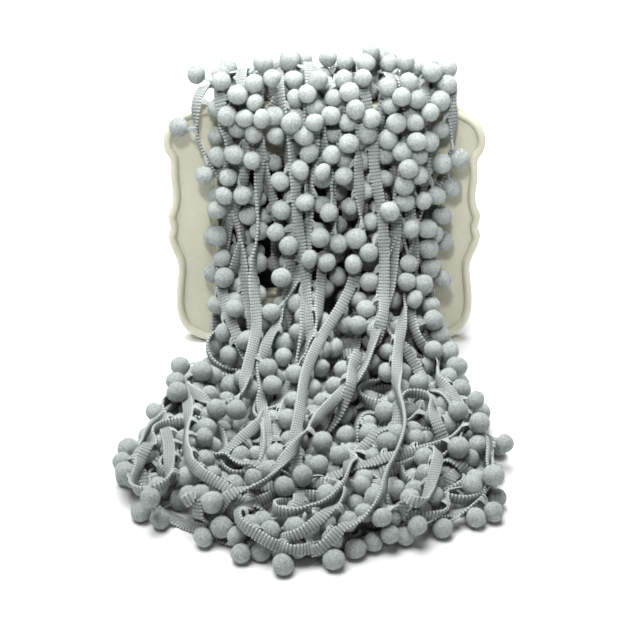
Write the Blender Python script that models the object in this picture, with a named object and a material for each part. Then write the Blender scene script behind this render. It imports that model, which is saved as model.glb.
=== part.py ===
"""Pompom fringe trim, a long length of it, draped over a standing photo frame.

Frame of reference: X to the right, Y away from the viewer, Z up. The origin is the middle of the
frame's flat foot on the surface. Tables are in millimetres, and MM turns them into metres.

The trim is one braid with pompoms tied along one edge. Its many passes over the frame, and the pile that
they end in, are one solid (trim_heap). The stretches of braid that lie on top of it, and the pompoms that
stand proud of it, are solids of their own.
"""

import math

import bmesh
import bpy
import numpy as np
from mathutils import Matrix, Vector
from mathutils.bvhtree import BVHTree

MM = 0.001

# Trim
POMPOM_D = 15.0
BRAID_WIDTH = 8.0
BRAID_THICK = 1.5
BRAID_STEP = 9.5
STEM_ROOT_D = 4.0
STEM_BALL_D = 2.6
STEM_REACH = 6.0
SEAT_GAP = 0.3

# Photo frame
LEAN = math.radians(8.0)
FRAME_BACK = 6.0
FRAME_FIELD = -4.5
FRAME_RIM = -6.5
RIM_WIDTH = 3.0
MOULDING_WIDTH = 8.0
OPENING_HALF = (74.0, 50.0)
OPENING_MIDDLE = 92.0
OPENING_CORNER = 6.0
REBATE = 4.0
REBATE_FACE = -3.0
PANEL_THICK = 4.5
FIT_GAP = 0.3
OUTLINE_POINTS = 104

# Easel leg behind the frame
HINGE_SIZE = (30.0, 5.0, 14.0)
HINGE_HEIGHT = 98.0
STRUT_WIDTH = 34.0
STRUT_FOOT_WIDTH = 44.0
STRUT_THICK = 3.0
STRUT_FOOT_Y = 68.0
STRUT_STAND_OFF = 0.4

# Right half of the frame's outline: x from the middle, height along the face.
FRAME_OUTLINE = [
    (0.0, 186.0),
    (30.0, 185.0),
    (60.0, 182.0),
    (84.0, 182.5),
    (98.0, 179.5),
    (110.0, 172.5),
    (116.5, 161.0),
    (116.0, 149.0),
    (111.0, 143.0),
    (112.0, 131.0),
    (110.5, 117.0),
    (111.0, 107.0),
    (115.5, 98.0),
    (114.0, 92.5),
    (109.0, 90.5),
    (114.0, 88.0),
    (115.5, 82.5),
    (111.5, 72.0),
    (107.5, 61.0),
    (109.0, 46.0),
    (110.0, 27.0),
    (107.0, 15.0),
    (101.0, 7.0),
    (90.0, 1.5),
    (76.0, -2.5),
    (0.0, -2.5),
]

# Sections of the draped bundle, from the hem behind the frame to the pile's front rim. The inner side lies
# 2 mm off the frame and then on the surface, and left and right are its edges.
# inner_y, inner_z, outer_y, outer_z, left, right
HEAP_SECTIONS = [
    (23.8, 110.0, 45.0, 108.0, -62.0, 60.0),
    (24.9, 118.0, 52.0, 118.0, -72.0, 70.0),
    (29.1, 148.0, 56.0, 150.0, -80.0, 78.0),
    (34.5, 180.0, 57.0, 188.0, -85.0, 82.0),
    (35.5, 189.0, 46.0, 209.0, -87.0, 84.0),
    (26.5, 189.0, 29.0, 218.0, -88.0, 84.0),
    (15.5, 188.5, 9.0, 212.0, -88.0, 84.0),
    (15.5, 178.0, -3.0, 195.0, -88.0, 85.0),
    (12.0, 150.0, -15.0, 155.0, -84.0, 84.0),
    (7.8, 118.0, -26.0, 120.0, -82.0, 83.0),
    (3.2, 85.0, -40.0, 90.0, -83.0, 84.0),
    (-1.2, 55.0, -62.0, 65.0, -85.0, 85.0),
    (-4.8, 30.0, -88.0, 49.0, -88.0, 86.0),
    (-9.0, 7.0, -122.0, 41.0, -90.0, 88.0),
    (-28.0, 0.0, -158.0, 38.0, -93.0, 90.0),
    (-75.0, 0.0, -190.0, 37.0, -103.0, 100.0),
    (-125.0, 0.0, -216.0, 36.0, -121.0, 111.0),
    (-165.0, 0.0, -238.0, 34.0, -137.0, 117.0),
    (-205.0, 0.0, -256.0, 30.0, -142.0, 122.0),
    (-240.0, 0.0, -272.0, 26.0, -139.0, 119.0),
    (-265.0, 0.0, -284.0, 21.0, -126.0, 104.0),
    (-280.0, 0.0, -292.0, 15.0, -106.0, 82.0),
    (-290.0, 0.0, -297.0, 7.0, -78.0, 50.0),
]
HEAP_RINGS = 50
HEAP_ACROSS = 42
HEAP_UNDER = 9
HEAP_SHOULDER = 3.2
HEAP_EDGE = 0.04
LUMP_HEIGHT = 5.0
LUMP_PITCH = 19.0
LUMP_RADIUS = 9.5
STRAND_TROUGH = 1.6
STRAND_PITCH = 15.5
THIN_BODY = 12.0
END_FADE = 20.0
LOWEST_OUTSIDE = 0.4

# Stretches of braid on top of the bundle, each a hand-placed route of (x, distance along the bundle from its
# first section). A later one lies over the earlier ones that it crosses.
BRAID_RUNS = {
    "fall_01": [(-24, 42), (-25, 90), (-26, 140), (-27, 172), (-26, 205), (-25, 230), (-20, 260), (-18, 296)],
    "fall_02": [(-5, 60), (-6, 100), (-8, 150), (-7, 186), (-8, 226), (-13, 255), (-15, 290)],
    "fall_03": [(12, 110), (14, 160), (14, 192), (7, 222), (6, 250), (-1, 285), (-5, 325), (-14, 352)],
    "fall_04": [(24, 46), (26, 100), (31, 140), (35, 165), (36, 192), (40, 218), (42, 243)],
    "fall_05": [(31, 248), (26, 274), (19, 300), (3, 330), (-9, 352), (-20, 380), (-19, 407), (-18, 440),
                (-19, 466)],
    "fall_06": [(-22, 304), (-30, 327), (-38, 345), (-44, 367), (-50, 392)],
    "fall_07": [(56, 326), (69, 352), (79, 376), (86, 402)],
    "fall_08": [(44, 50), (44, 110), (48, 146), (56, 172), (61, 200), (62, 228), (56, 246), (48, 264), (43, 282)],
    "fall_09": [(-62, 36), (-58, 90), (-57, 130), (-50, 157), (-45, 186), (-45, 225), (-47, 255), (-54, 290),
                (-50, 315), (-45, 333), (-48, 352), (-55, 388), (-60, 419), (-76, 432), (-90, 440)],
    "pool_01": [(57, 416), (68, 431), (77, 446), (77, 460)],
    "pool_02": [(-27, 543), (-13, 544), (-2, 535), (9, 520), (17, 506)],
    "pool_03": [(-33, 530), (-22, 527), (-8, 524), (3, 522), (12, 510), (18, 486)],
    "pool_04": [(-110, 462), (-100, 466), (-96, 480), (-92, 493), (-82, 500), (-66, 503)],
    "pool_05": [(78, 479), (76, 501), (75, 522), (80, 536), (88, 537), (95, 529)],
    "pool_06": [(-66, 531), (-55, 537), (-42, 541), (-33, 549), (-26, 555)],
    "long_01": [(55, 264), (52, 285), (51, 300), (47, 320), (40, 340), (31, 371), (20, 389), (8, 406), (-3, 430),
                (-13, 456), (-24, 480), (-37, 505), (-52, 514), (-70, 521), (-95, 526), (-114, 523)],
    "long_02": [(68, 242), (64, 264), (57, 288), (54, 313), (55, 340), (54, 368), (52, 402), (54, 425), (53, 448),
                (46, 466), (43, 490), (41, 508), (34, 529), (22, 541), (12, 550), (0, 555), (-12, 553)],
}

# Pompoms that stand proud of the bundle: x, distance along it, and the bearing of the stem, in degrees from
# +X towards the pile.
POMPOMS_ON_TOP = [
    (-60, 178, 20),
    (-37, 168, 200),
    (-16, 170, 190),
    (4, 180, 20),
    (-34, 206, 205),
    (24, 208, 150),
    (50, 209, 190),
    (-36, 229, 195),
    (30, 238, 350),
    (-5, 246, 20),
    (-36, 282, 200),
    (10, 276, 160),
    (10, 364, 150),
    (-8, 376, 200),
    (20, 444, 130),
    (-58, 446, 250),
    (33, 476, 350),
    (-80, 476, 200),
]

# Pompoms on the surface round the pile: x, y, and the bearing, in degrees from +X towards +Y, in which each is
# pushed up to the pile, where its stem goes too.
POMPOMS_ON_SURFACE = [
    (-148, -248, 35),
    (-122, -292, 62),
    (-62, -312, 75),
    (-38, -318, 80),
    (40, -312, 95),
    (130, -240, 165),
    (136, -200, 185),
    (124, -96, 185),
]
POMPOM_SIDES = 8
LET_DOWN_STEP = 0.25
MOST_TRAVEL = 90.0
TEST_SWELL = 0.4


def clear_scene():
    for thing in list(bpy.data.objects):
        bpy.data.objects.remove(thing, do_unlink=True)


def material(name, colour, roughness, metallic=0.0):
    made = bpy.data.materials.new(name)
    made.use_nodes = True
    shader = made.node_tree.nodes["Principled BSDF"]
    shader.inputs["Base Color"].default_value = (*colour, 1.0)
    shader.inputs["Roughness"].default_value = roughness
    shader.inputs["Metallic"].default_value = metallic
    return made


def add_object(name, mesh_maker, finish, smooth_angle=None):
    """A named object from a bmesh, with its material. The bmesh is in metres."""
    mesh = bpy.data.meshes.new(name)
    bmesh.ops.recalc_face_normals(mesh_maker, faces=mesh_maker.faces)
    mesh_maker.to_mesh(mesh)
    mesh_maker.free()
    mesh.materials.append(finish)
    if smooth_angle is not None:
        mesh.shade_smooth()
        mesh.set_sharp_from_angle(angle=smooth_angle)
    made = bpy.data.objects.new(name, mesh)
    bpy.context.scene.collection.objects.link(made)
    return made


def catmull_rom(points, t):
    """A smooth curve through points (rows), read at t from 0 to 1."""
    points = np.asarray(points, float)
    place = np.clip(np.asarray(t, float), 0.0, 1.0) * (len(points) - 1)
    i = np.minimum(place.astype(int), len(points) - 2)
    f = (place - i)[..., None]
    before = points[np.maximum(i - 1, 0)]
    start = points[i]
    end = points[i + 1]
    after = points[np.minimum(i + 2, len(points) - 1)]
    return 0.5 * (
        2 * start
        + (end - before) * f
        + (2 * before - 5 * start + 4 * end - after) * f**2
        + (3 * start - before - 3 * end + after) * f**3
    )


def evenly(points, count):
    """The same polyline with count points, evenly spaced along it."""
    points = np.asarray(points, float)
    along = np.r_[0.0, np.cumsum(np.linalg.norm(np.diff(points, axis=0), axis=1))]
    wanted = np.linspace(0.0, along[-1], count)
    return np.stack([np.interp(wanted, along, column) for column in points.T], axis=1)


# ---------------------------------------------------------------- photo frame


def frame_outline():
    """The scalloped outline as a closed loop of (x, height along the face)."""
    half = evenly(catmull_rom(FRAME_OUTLINE, np.linspace(0.0, 1.0, 400)), OUTLINE_POINTS // 2 + 1)
    mirrored = half[1:-1][::-1] * (-1.0, 1.0)
    return np.concatenate([half, mirrored])


def set_in(loop, distance):
    """A closed loop moved inwards by a distance."""
    ahead = np.roll(loop, -1, axis=0) - np.roll(loop, 1, axis=0)
    ahead /= np.linalg.norm(ahead, axis=1, keepdims=True)
    return loop + distance * np.stack([ahead[:, 1], -ahead[:, 0]], axis=1)


def opening_loop(outline, grown):
    """A rounded rectangle round the opening, with a point on the same bearing as each outline point."""
    middle = np.array([0.0, OPENING_MIDDLE])
    bearing = outline - middle
    bearing /= np.linalg.norm(bearing, axis=1, keepdims=True)
    half = np.array(OPENING_HALF) + grown
    inner = half - OPENING_CORNER
    reach = np.min(half / np.maximum(np.abs(bearing), 1e-9), axis=1)
    point = bearing * reach[:, None]
    corner = (np.abs(point) > inner).all(axis=1)
    centre = np.sign(bearing) * inner
    along = (bearing * centre).sum(axis=1)
    root = along**2 - (centre**2).sum(axis=1) + OPENING_CORNER**2
    round_reach = along + np.sqrt(np.maximum(root, 0.0))
    point[corner] = bearing[corner] * round_reach[corner, None]
    return point + middle


def loops_to_solid(loops, closed):
    """Faces between loops of (x, y, z) rows. A closed run joins its last loop to its first, as in a ring."""
    shape = bmesh.new()
    rows = [[shape.verts.new(Vector(point) * MM) for point in loop] for loop in loops]
    pairs = list(zip(rows, rows[1:]))
    if closed:
        pairs.append((rows[-1], rows[0]))
    for near, far in pairs:
        for i in range(len(near)):
            j = (i + 1) % len(near)
            shape.faces.new((near[i], near[j], far[j], far[i]))
    if not closed:
        shape.faces.new(rows[0])
        shape.faces.new(rows[-1])
    return shape


def lean_back(shape):
    bmesh.ops.transform(shape, matrix=Matrix.Rotation(-LEAN, 4, "X"), verts=shape.verts)


def cut_flat_foot(shape):
    """Cuts a shape off at the surface and closes it there."""
    everything = list(shape.verts) + list(shape.edges) + list(shape.faces)
    bmesh.ops.bisect_plane(
        shape, geom=everything, plane_co=(0, 0, 0), plane_no=(0, 0, -1), clear_outer=True, dist=1e-7
    )
    open_edges = [edge for edge in shape.edges if edge.is_boundary]
    bmesh.ops.contextual_create(shape, geom=open_edges)


def at_depth(loop, depth):
    return [(x, depth, height) for x, height in loop]


def make_surround(finish):
    outline = frame_outline()
    lip = opening_loop(outline, 0.0)
    rebate = opening_loop(outline, REBATE)
    loops = [
        at_depth(outline, FRAME_BACK),
        at_depth(outline, FRAME_FIELD),
        at_depth(set_in(outline, RIM_WIDTH * 0.4), FRAME_RIM),
        at_depth(set_in(outline, RIM_WIDTH), FRAME_FIELD),
        at_depth(opening_loop(outline, MOULDING_WIDTH), FRAME_FIELD),
        at_depth(opening_loop(outline, MOULDING_WIDTH * 0.5), FRAME_RIM),
        at_depth(lip, FRAME_FIELD),
        at_depth(lip, REBATE_FACE),
        at_depth(rebate, REBATE_FACE),
        at_depth(rebate, FRAME_BACK),
    ]
    shape = loops_to_solid(loops, closed=True)
    lean_back(shape)
    cut_flat_foot(shape)
    return add_object("frame_surround", shape, finish, math.radians(35))


def make_backing(finish):
    loop = opening_loop(frame_outline(), REBATE - FIT_GAP)
    front = REBATE_FACE + FIT_GAP
    shape = loops_to_solid([at_depth(loop, front), at_depth(loop, front + PANEL_THICK)], closed=False)
    lean_back(shape)
    return add_object("frame_backing", shape, finish)


def hinge_back_face():
    """(y, z) of the middle of the hinge's back face."""
    depth = REBATE_FACE + FIT_GAP + PANEL_THICK + FIT_GAP + HINGE_SIZE[1]
    return (
        depth * math.cos(LEAN) + HINGE_HEIGHT * math.sin(LEAN),
        HINGE_HEIGHT * math.cos(LEAN) - depth * math.sin(LEAN),
    )


def make_hinge(finish):
    depth = REBATE_FACE + FIT_GAP + PANEL_THICK + FIT_GAP + HINGE_SIZE[1] / 2
    shape = bmesh.new()
    bmesh.ops.create_cube(shape, size=1.0)
    bmesh.ops.scale(shape, vec=Vector(HINGE_SIZE) * MM, verts=shape.verts)
    bmesh.ops.translate(shape, vec=Vector((0, depth, HINGE_HEIGHT)) * MM, verts=shape.verts)
    lean_back(shape)
    return add_object("easel_hinge", shape, finish)


def make_strut(finish):
    """A tapered leg from the hinge down to a flat foot behind the frame."""
    top_y, top_z = hinge_back_face()
    run = np.array([STRUT_FOOT_Y - top_y, -top_z])
    down = run / np.linalg.norm(run)
    out = np.array([-down[1], down[0]])
    top = np.array([top_y + STRUT_STAND_OFF, top_z])
    foot = top + down * (top_z / -down[1] + 6.0)
    loops = []
    for place, half in ((top, STRUT_WIDTH / 2), (foot, STRUT_FOOT_WIDTH / 2)):
        near = place
        far = place + out * STRUT_THICK
        loops.append([(-half, *near), (half, *near), (half, *far), (-half, *far)])
    shape = loops_to_solid(loops, closed=False)
    cut_flat_foot(shape)
    return add_object("easel_strut", shape, finish)


# ---------------------------------------------------------------- draped bundle


def smoothed_rows(rows, count):
    """Rows of a table read at count even places along the outer side, with their corners eased."""
    rows = np.asarray(rows, float)
    along = np.r_[0.0, np.cumsum(np.linalg.norm(np.diff(rows[:, 2:4], axis=0), axis=1))]
    dense = np.linspace(0.0, along[-1], 8 * (count - 1) + 1)
    table = np.stack([np.interp(dense, along, column) for column in rows.T], axis=1)
    for _ in range(40):
        table[1:-1] = (table[:-2] + 2 * table[1:-1] + table[2:]) / 4
    return dense[::8], table[::8]


def lump_height(along, across):
    """Height of the pompoms that crowd the outside: a cap of a ball on each place of a shaken grid."""
    best = np.zeros(np.broadcast(along, across).shape)
    for i in range(-2, 36):
        for j in range(-10, 10):
            shake_u = math.sin(12.9 * i + 78.2 * j) * 0.32
            shake_x = math.sin(39.3 * i + 11.1 * j) * 0.32
            u = (i + shake_u) * LUMP_PITCH
            x = (j + 0.5 * (i % 2) + shake_x) * LUMP_PITCH
            off = (along - u) ** 2 + (across - x) ** 2
            cap = np.sqrt(np.maximum(0.0, 1.0 - off / LUMP_RADIUS**2))
            best = np.maximum(best, cap)
    return LUMP_HEIGHT * best


def strand_trough(along, across):
    wander = 3.0 * np.sin(along / 47.0) + 2.0 * np.sin(along / 23.0 + across / 31.0)
    return STRAND_TROUGH * np.cos(2 * math.pi * (across + wander) / STRAND_PITCH)


def outward_at(distance, along, table):
    """(y, z) of the way out, square to the bundle's outer side."""
    ahead = [np.interp(distance + 6.0, along, column) for column in table[:, 2:4].T]
    behind = [np.interp(distance - 6.0, along, column) for column in table[:, 2:4].T]
    run = np.array(ahead) - np.array(behind)
    run /= np.linalg.norm(run)
    return np.array([run[1], -run[0]])


def heap_rings():
    """Rings of the bundle: each runs over its outer side from left to right, and back under it."""
    along, table = smoothed_rows(HEAP_SECTIONS, HEAP_RINGS)
    rings = []
    for distance, (in_y, in_z, out_y, out_z, left, right) in zip(along, table):
        over = np.linspace(-1.0, 1.0, HEAP_ACROSS)
        side = np.sin(over * math.pi / 2) * 0.55 + over * 0.45
        x = (left + right) / 2 + side * (right - left) / 2
        rise = np.maximum(HEAP_EDGE, (1.0 - np.abs(side) ** HEAP_SHOULDER) ** 0.5)
        reach = math.hypot(out_y - in_y, out_z - in_z)
        end_fade = min(1.0, distance / END_FADE, (along[-1] - distance) / END_FADE)
        body = reach * rise - LUMP_HEIGHT * 0.6
        depth = np.maximum(body, reach * HEAP_EDGE + 0.5)
        way = np.array([out_y - in_y, out_z - in_z]) / reach
        proud = lump_height(distance, x) + strand_trough(distance, x)
        proud *= np.clip(body / THIN_BODY, 0.0, 1.0) * end_fade
        outward = outward_at(distance, along, table)
        outer_y = in_y + way[0] * depth + outward[0] * proud
        outer_z = in_z + way[1] * depth + outward[1] * proud
        outer = np.stack([x, outer_y, np.maximum(outer_z, LOWEST_OUTSIDE)], axis=1)
        under = np.linspace(1.0, -1.0, HEAP_UNDER + 2)[1:-1]
        under_x = (left + right) / 2 + under * ((right - left) / 2)
        inner = np.stack([under_x, np.full(HEAP_UNDER, in_y), np.full(HEAP_UNDER, in_z)], axis=1)
        rings.append(np.concatenate([outer, inner]))
    return rings


def make_heap(finish):
    shape = loops_to_solid(heap_rings(), closed=False)
    bmesh.ops.triangulate(shape, faces=shape.faces)
    return add_object("trim_heap", shape, finish, math.radians(60))


def tree_of(objects):
    """One search tree, in millimetres, over the meshes of several objects."""
    points = []
    faces = []
    for thing in objects:
        start = len(points)
        points.extend(vert.co / MM for vert in thing.data.vertices)
        faces.extend([start + i for i in face.vertices] for face in thing.data.polygons)
    return BVHTree.FromPolygons(points, faces)


def bundle_place(x, distance):
    """A point well outside the bundle at (x, distance along it), and the way in, square to its outer side."""
    along, table = BUNDLE_TABLE
    row = np.array([np.interp(distance, along, column) for column in table.T])
    outward = outward_at(distance, along, table)
    middle = (row[4] + row[5]) / 2
    side = np.clip((x - middle) / ((row[5] - row[4]) / 2), -0.98, 0.98)
    out = Vector((0.9 * side**5, *outward)).normalized()
    rise = (1.0 - abs(side) ** HEAP_SHOULDER) ** 0.5
    surface = row[:2] + (row[2:4] - row[:2]) * rise
    return Vector((x, *surface)), out


def height_over(tree, place, out):
    """How far the solids reach along out from a place, or None where the line misses them."""
    hit = tree.ray_cast(place + out * 60.0, -out, 120.0)
    return None if hit[0] is None else (hit[0] - place).dot(out)


def braid_run(name, route, finish, below):
    """A flat strip that rests on the solids below it, level across its width."""
    fine = evenly(catmull_rom(route, np.linspace(0, 1, 200)), 200)
    places = [bundle_place(*row) for row in fine]
    length = sum((b[0] - a[0]).length for a, b in zip(places, places[1:]))
    count = max(3, round(length / BRAID_STEP) + 1)
    path = evenly([place for place, _ in places], count)
    nearest = [min(places, key=lambda item: (item[0] - Vector(point)).length)[1] for point in path]
    outs = np.array(nearest)
    for _ in range(3):
        outs[1:-1] = (outs[:-2] + 2 * outs[1:-1] + outs[2:]) / 4
    tree = tree_of(below)
    sections = []
    for i, point in enumerate(path):
        out = Vector(outs[i]).normalized()
        ahead = Vector(path[min(i + 1, count - 1)] - path[max(i - 1, 0)]).normalized()
        across = ahead.cross(out).normalized()
        out = across.cross(ahead).normalized()
        sections.append((Vector(point), out, ahead, across))
    reach = BRAID_STEP * 0.6
    lifts = []
    for point, out, ahead, across in sections:
        heights = [0.0]
        for u in np.linspace(-reach, reach, 7):
            for v in np.linspace(-0.6, 0.6, 7):
                found = height_over(tree, point + ahead * float(u) + across * float(v * BRAID_WIDTH), out)
                if found is not None:
                    heights.append(found)
        lifts.append(max(heights[1:]) if len(heights) > 1 else 0.0)
    lifts = np.array(lifts)
    eased = lifts.copy()
    for _ in range(2):
        eased[1:-1] = np.maximum(lifts[1:-1], (eased[:-2] + 2 * eased[1:-1] + eased[2:]) / 4)
    clear = eased + SEAT_GAP
    while meets(strip_solid(sections, clear, TEST_SWELL), tree):
        clear = clear + LET_DOWN_STEP
    return add_object(name, strip_solid(sections, clear, 0.0), finish)


def strip_solid(sections, lifts, swell):
    loops = []
    for (point, out, _, across), lift in zip(sections, lifts):
        low = point + out * (float(lift) - swell)
        high = low + out * (BRAID_THICK + 2 * swell)
        half = across * (BRAID_WIDTH / 2 + swell)
        loops.append([low - half, low + half, high + half, high - half])
    return loops_to_solid(loops, closed=False)


def meets(shape, tree):
    """Whether a trial bmesh, in metres, cuts the solids of a search tree. The trial is freed."""
    shape.verts.index_update()
    points = [vert.co / MM for vert in shape.verts]
    faces = [[vert.index for vert in face.verts] for face in shape.faces]
    shape.free()
    return bool(BVHTree.FromPolygons(points, faces).overlap(tree))


def pompom_solid(middle, stem_way, swell):
    """A ball with its stem, turned about the stem's own line: one profile, spun."""
    radius = POMPOM_D / 2 + swell
    neck = STEM_BALL_D / 2 + swell
    root = STEM_ROOT_D / 2 + swell
    neck_angle = math.asin(neck / radius)
    profile = []
    for step in range(1, 6):
        angle = math.pi - (math.pi - neck_angle) * step / 5
        profile.append((radius * math.cos(angle), radius * math.sin(angle)))
    profile.append((POMPOM_D / 2 + STEM_REACH + swell, root))
    z_axis = stem_way.normalized()
    x_axis = z_axis.orthogonal().normalized()
    y_axis = z_axis.cross(x_axis)
    shape = bmesh.new()
    pole = shape.verts.new((middle - z_axis * radius) * MM)
    rows = []
    for height, half in profile:
        row = []
        for i in range(POMPOM_SIDES):
            turn = 2 * math.pi * i / POMPOM_SIDES
            offset = x_axis * (half * math.cos(turn)) + y_axis * (half * math.sin(turn))
            row.append(shape.verts.new((middle + z_axis * height + offset) * MM))
        rows.append(row)
    for i in range(POMPOM_SIDES):
        j = (i + 1) % POMPOM_SIDES
        shape.faces.new((pole, rows[0][i], rows[0][j]))
        for near, far in zip(rows, rows[1:]):
            shape.faces.new((near[i], far[i], far[j], near[j]))
    shape.faces.new(rows[-1])
    return shape


def let_down(name, start, way, stem_way, finish, below):
    """A pompom moved from start along a way until it nearly meets the solids there."""
    tree = tree_of(below)
    travel = 0.0
    while travel < MOST_TRAVEL:
        if meets(pompom_solid(start + way * (travel + LET_DOWN_STEP), stem_way, TEST_SWELL), tree):
            break
        travel += LET_DOWN_STEP
    shape = pompom_solid(start + way * travel, stem_way, 0.0)
    return add_object(name, shape, finish, math.radians(60))


def make_pompoms(finish, below):
    made = []
    for x, distance, bearing in POMPOMS_ON_TOP:
        place, out = bundle_place(x, distance)
        across = Vector((1, 0, 0))
        across = (across - out * across.dot(out)).normalized()
        down = across.cross(out)
        turn = math.radians(bearing)
        stem_way = across * math.cos(turn) - down * math.sin(turn) - out * 0.25
        name = f"pompom_{len(made) + 1:02d}"
        made.append(let_down(name, place + out * 34.0, -out, stem_way, finish, below + made))
    for x, y, bearing in POMPOMS_ON_SURFACE:
        turn = math.radians(bearing)
        way = Vector((math.cos(turn), math.sin(turn), 0))
        stem_way = way + Vector((0, 0, 0.45))
        start = Vector((x, y, POMPOM_D / 2 + 0.15)) - way * 12.0
        name = f"pompom_{len(made) + 1:02d}"
        made.append(let_down(name, start, way, stem_way, finish, below + made))
    return made


def main():
    clear_scene()
    cream = material("frame_cream", (0.84, 0.80, 0.68), 0.4)
    dark = material("frame_dark", (0.02, 0.02, 0.022), 0.6)
    pile_grey = material("trim_grey", (0.47, 0.49, 0.50), 0.95)
    braid_grey = material("braid_grey", (0.42, 0.44, 0.45), 0.85)
    pompom_grey = material("pompom_grey", (0.55, 0.57, 0.58), 0.95)
    make_surround(cream)
    make_backing(dark)
    make_hinge(dark)
    make_strut(dark)
    laid = [make_heap(pile_grey)]
    for name, route in BRAID_RUNS.items():
        laid.append(braid_run("braid_run_" + name, route, braid_grey, laid))
    make_pompoms(pompom_grey, laid)


BUNDLE_TABLE = smoothed_rows(HEAP_SECTIONS, HEAP_RINGS)
main()
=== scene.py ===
"""Looks of the pompom fringe trim: one long braid with felt balls, thrown over a small plaster frame.

A first line goes through every pass over the frame and every run on the pile. The braid's two edges and
the balls then settle along it as particles, in numpy. The settled stations give the woven braid, the felt
balls with their fibres, and the threads of the stems. The frame keeps its own nodes, with a bead added.
"""

import itertools
import math

import bmesh
import bpy
import mathutils
import numpy as np
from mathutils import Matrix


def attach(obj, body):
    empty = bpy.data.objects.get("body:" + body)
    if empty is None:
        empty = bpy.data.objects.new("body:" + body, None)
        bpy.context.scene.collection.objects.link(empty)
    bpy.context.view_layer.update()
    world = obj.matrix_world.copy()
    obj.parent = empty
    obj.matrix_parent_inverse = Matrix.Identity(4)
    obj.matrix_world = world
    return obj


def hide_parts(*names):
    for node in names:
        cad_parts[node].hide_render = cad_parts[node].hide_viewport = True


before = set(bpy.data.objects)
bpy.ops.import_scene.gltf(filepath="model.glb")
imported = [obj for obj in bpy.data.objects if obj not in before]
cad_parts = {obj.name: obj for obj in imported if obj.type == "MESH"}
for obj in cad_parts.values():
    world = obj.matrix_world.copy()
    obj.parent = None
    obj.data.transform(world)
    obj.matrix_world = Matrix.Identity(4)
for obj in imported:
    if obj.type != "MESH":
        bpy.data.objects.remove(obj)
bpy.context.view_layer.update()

MM = 0.001

# Keeps a length of nothing from being divided by
TINY = 1e-9

# ---- The camera: the photograph's view, in metres ----

VIEW_TARGET = (-0.0075, 0.0, 0.0208)
VIEW_ELEVATION = math.radians(30.0)
VIEW_DISTANCE = 1.7

# The photograph's width and its focal length in pixels, and the sensor's width in millimetres
IMAGE_WIDTH = 628
FOCAL_PIXELS = 2266
SENSOR_WIDTH = 36.0


def add_object(name, data):
    made = bpy.data.objects.new(name, data)
    bpy.context.scene.collection.objects.link(made)
    return made


def make_camera():
    """The photograph's camera, straight in front and above."""
    data = bpy.data.cameras.new("photo_view")
    data.sensor_width = SENSOR_WIDTH
    data.lens = FOCAL_PIXELS / IMAGE_WIDTH * SENSOR_WIDTH
    camera = add_object("photo_view", data)
    camera.location = (
        VIEW_TARGET[0],
        VIEW_TARGET[1] - VIEW_DISTANCE * math.cos(VIEW_ELEVATION),
        VIEW_TARGET[2] + VIEW_DISTANCE * math.sin(VIEW_ELEVATION),
    )
    camera.rotation_euler = (math.pi / 2 - VIEW_ELEVATION, 0.0, 0.0)
    bpy.context.scene.camera = camera


# ---- The trim's real sizes, in millimetres ----

TRIM_LENGTH = 18300.0
BRAID_WIDTH = 8.0
POMPOM_RADIUS = 7.2
POMPOM_PITCH = 21.6
STATIONS_PER_POMPOM = 3
STATION = POMPOM_PITCH / STATIONS_PER_POMPOM
STEM_TO_CENTRE = 12.6
RIB_PITCH = 2.4

# The frame that it hangs over, leaning back by LEAN about its foot
LEAN = math.radians(8.0)
FRAME_HALF_WIDTH = 118.0
FRAME_FACE = -6.5
FRAME_BACK = 6.0
FRAME_HEIGHT = 185.5

# The flat field of its face, the middle of its opening and the half sizes of a box round that, and how
# near to its back a corner has to be to count as one of the back's
FRAME_FIELD = -4.5
OPENING_MIDDLE = 92.0
OPENING_CLEAR = (88.0, 66.0)
BACK_CORNERS = 0.1

# The half-round bead along the edge of the frame's face
BEAD_STEPS = 420
BEAD_SMOOTHINGS = 2
BEAD_INSET = 2.4
BEAD_HALF_WIDTH = 3.0
BEAD_HEIGHT = 3.2
BEAD_SUNK = 0.4
BEAD_SIDES = 9

# The bundle's sections from the back hem, over the frame's top, down its front and along the floor:
# inner y, inner z, outer y, outer z, left x, right x
HEAP_SECTIONS = [
    (23.8, 110, 45, 108, -62, 60), (24.9, 118, 52, 118, -72, 70),
    (29.1, 148, 56, 150, -80, 78), (34.5, 180, 57, 188, -85, 82),
    (35.5, 189, 46, 209, -87, 84), (26.5, 189, 29, 218, -88, 84),
    (15.5, 188.5, 9, 212, -88, 84), (15.5, 178, -3, 195, -88, 85),
    (12, 150, -15, 155, -84, 84), (7.8, 118, -26, 120, -82, 83),
    (3.2, 85, -40, 90, -83, 84), (-1.2, 55, -62, 65, -85, 85),
    (-4.8, 30, -88, 49, -88, 86), (-9, 7, -122, 41, -90, 88),
    (-28, 0, -158, 38, -93, 90), (-75, 0, -190, 37, -103, 100),
    (-125, 0, -216, 36, -121, 111), (-165, 0, -238, 34, -137, 117),
    (-205, 0, -256, 30, -142, 122), (-240, 0, -272, 26, -139, 119),
    (-265, 0, -284, 21, -126, 104), (-280, 0, -292, 15, -106, 82),
    (-290, 0, -297, 7, -78, 50),
]

# How finely the sections are sampled and smoothed, and how square the bundle's shoulders are
SECTION_SAMPLES = 393
SECTION_SMOOTHINGS = 40
SHOULDER = 3.2

# Rim of the pile on the floor, front to back: y, left x, right x
PILE_RIM = [
    (-296, -48, 2), (-288, -58, 18), (-276, -68, 40),
    (-262, -90, 68), (-250, -126, 102), (-235, -139, 120),
    (-200, -143, 126), (-153, -134, 116), (-114, -112, 109),
    (-60, -97, 92), (-4, -80, 84),
]

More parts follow.
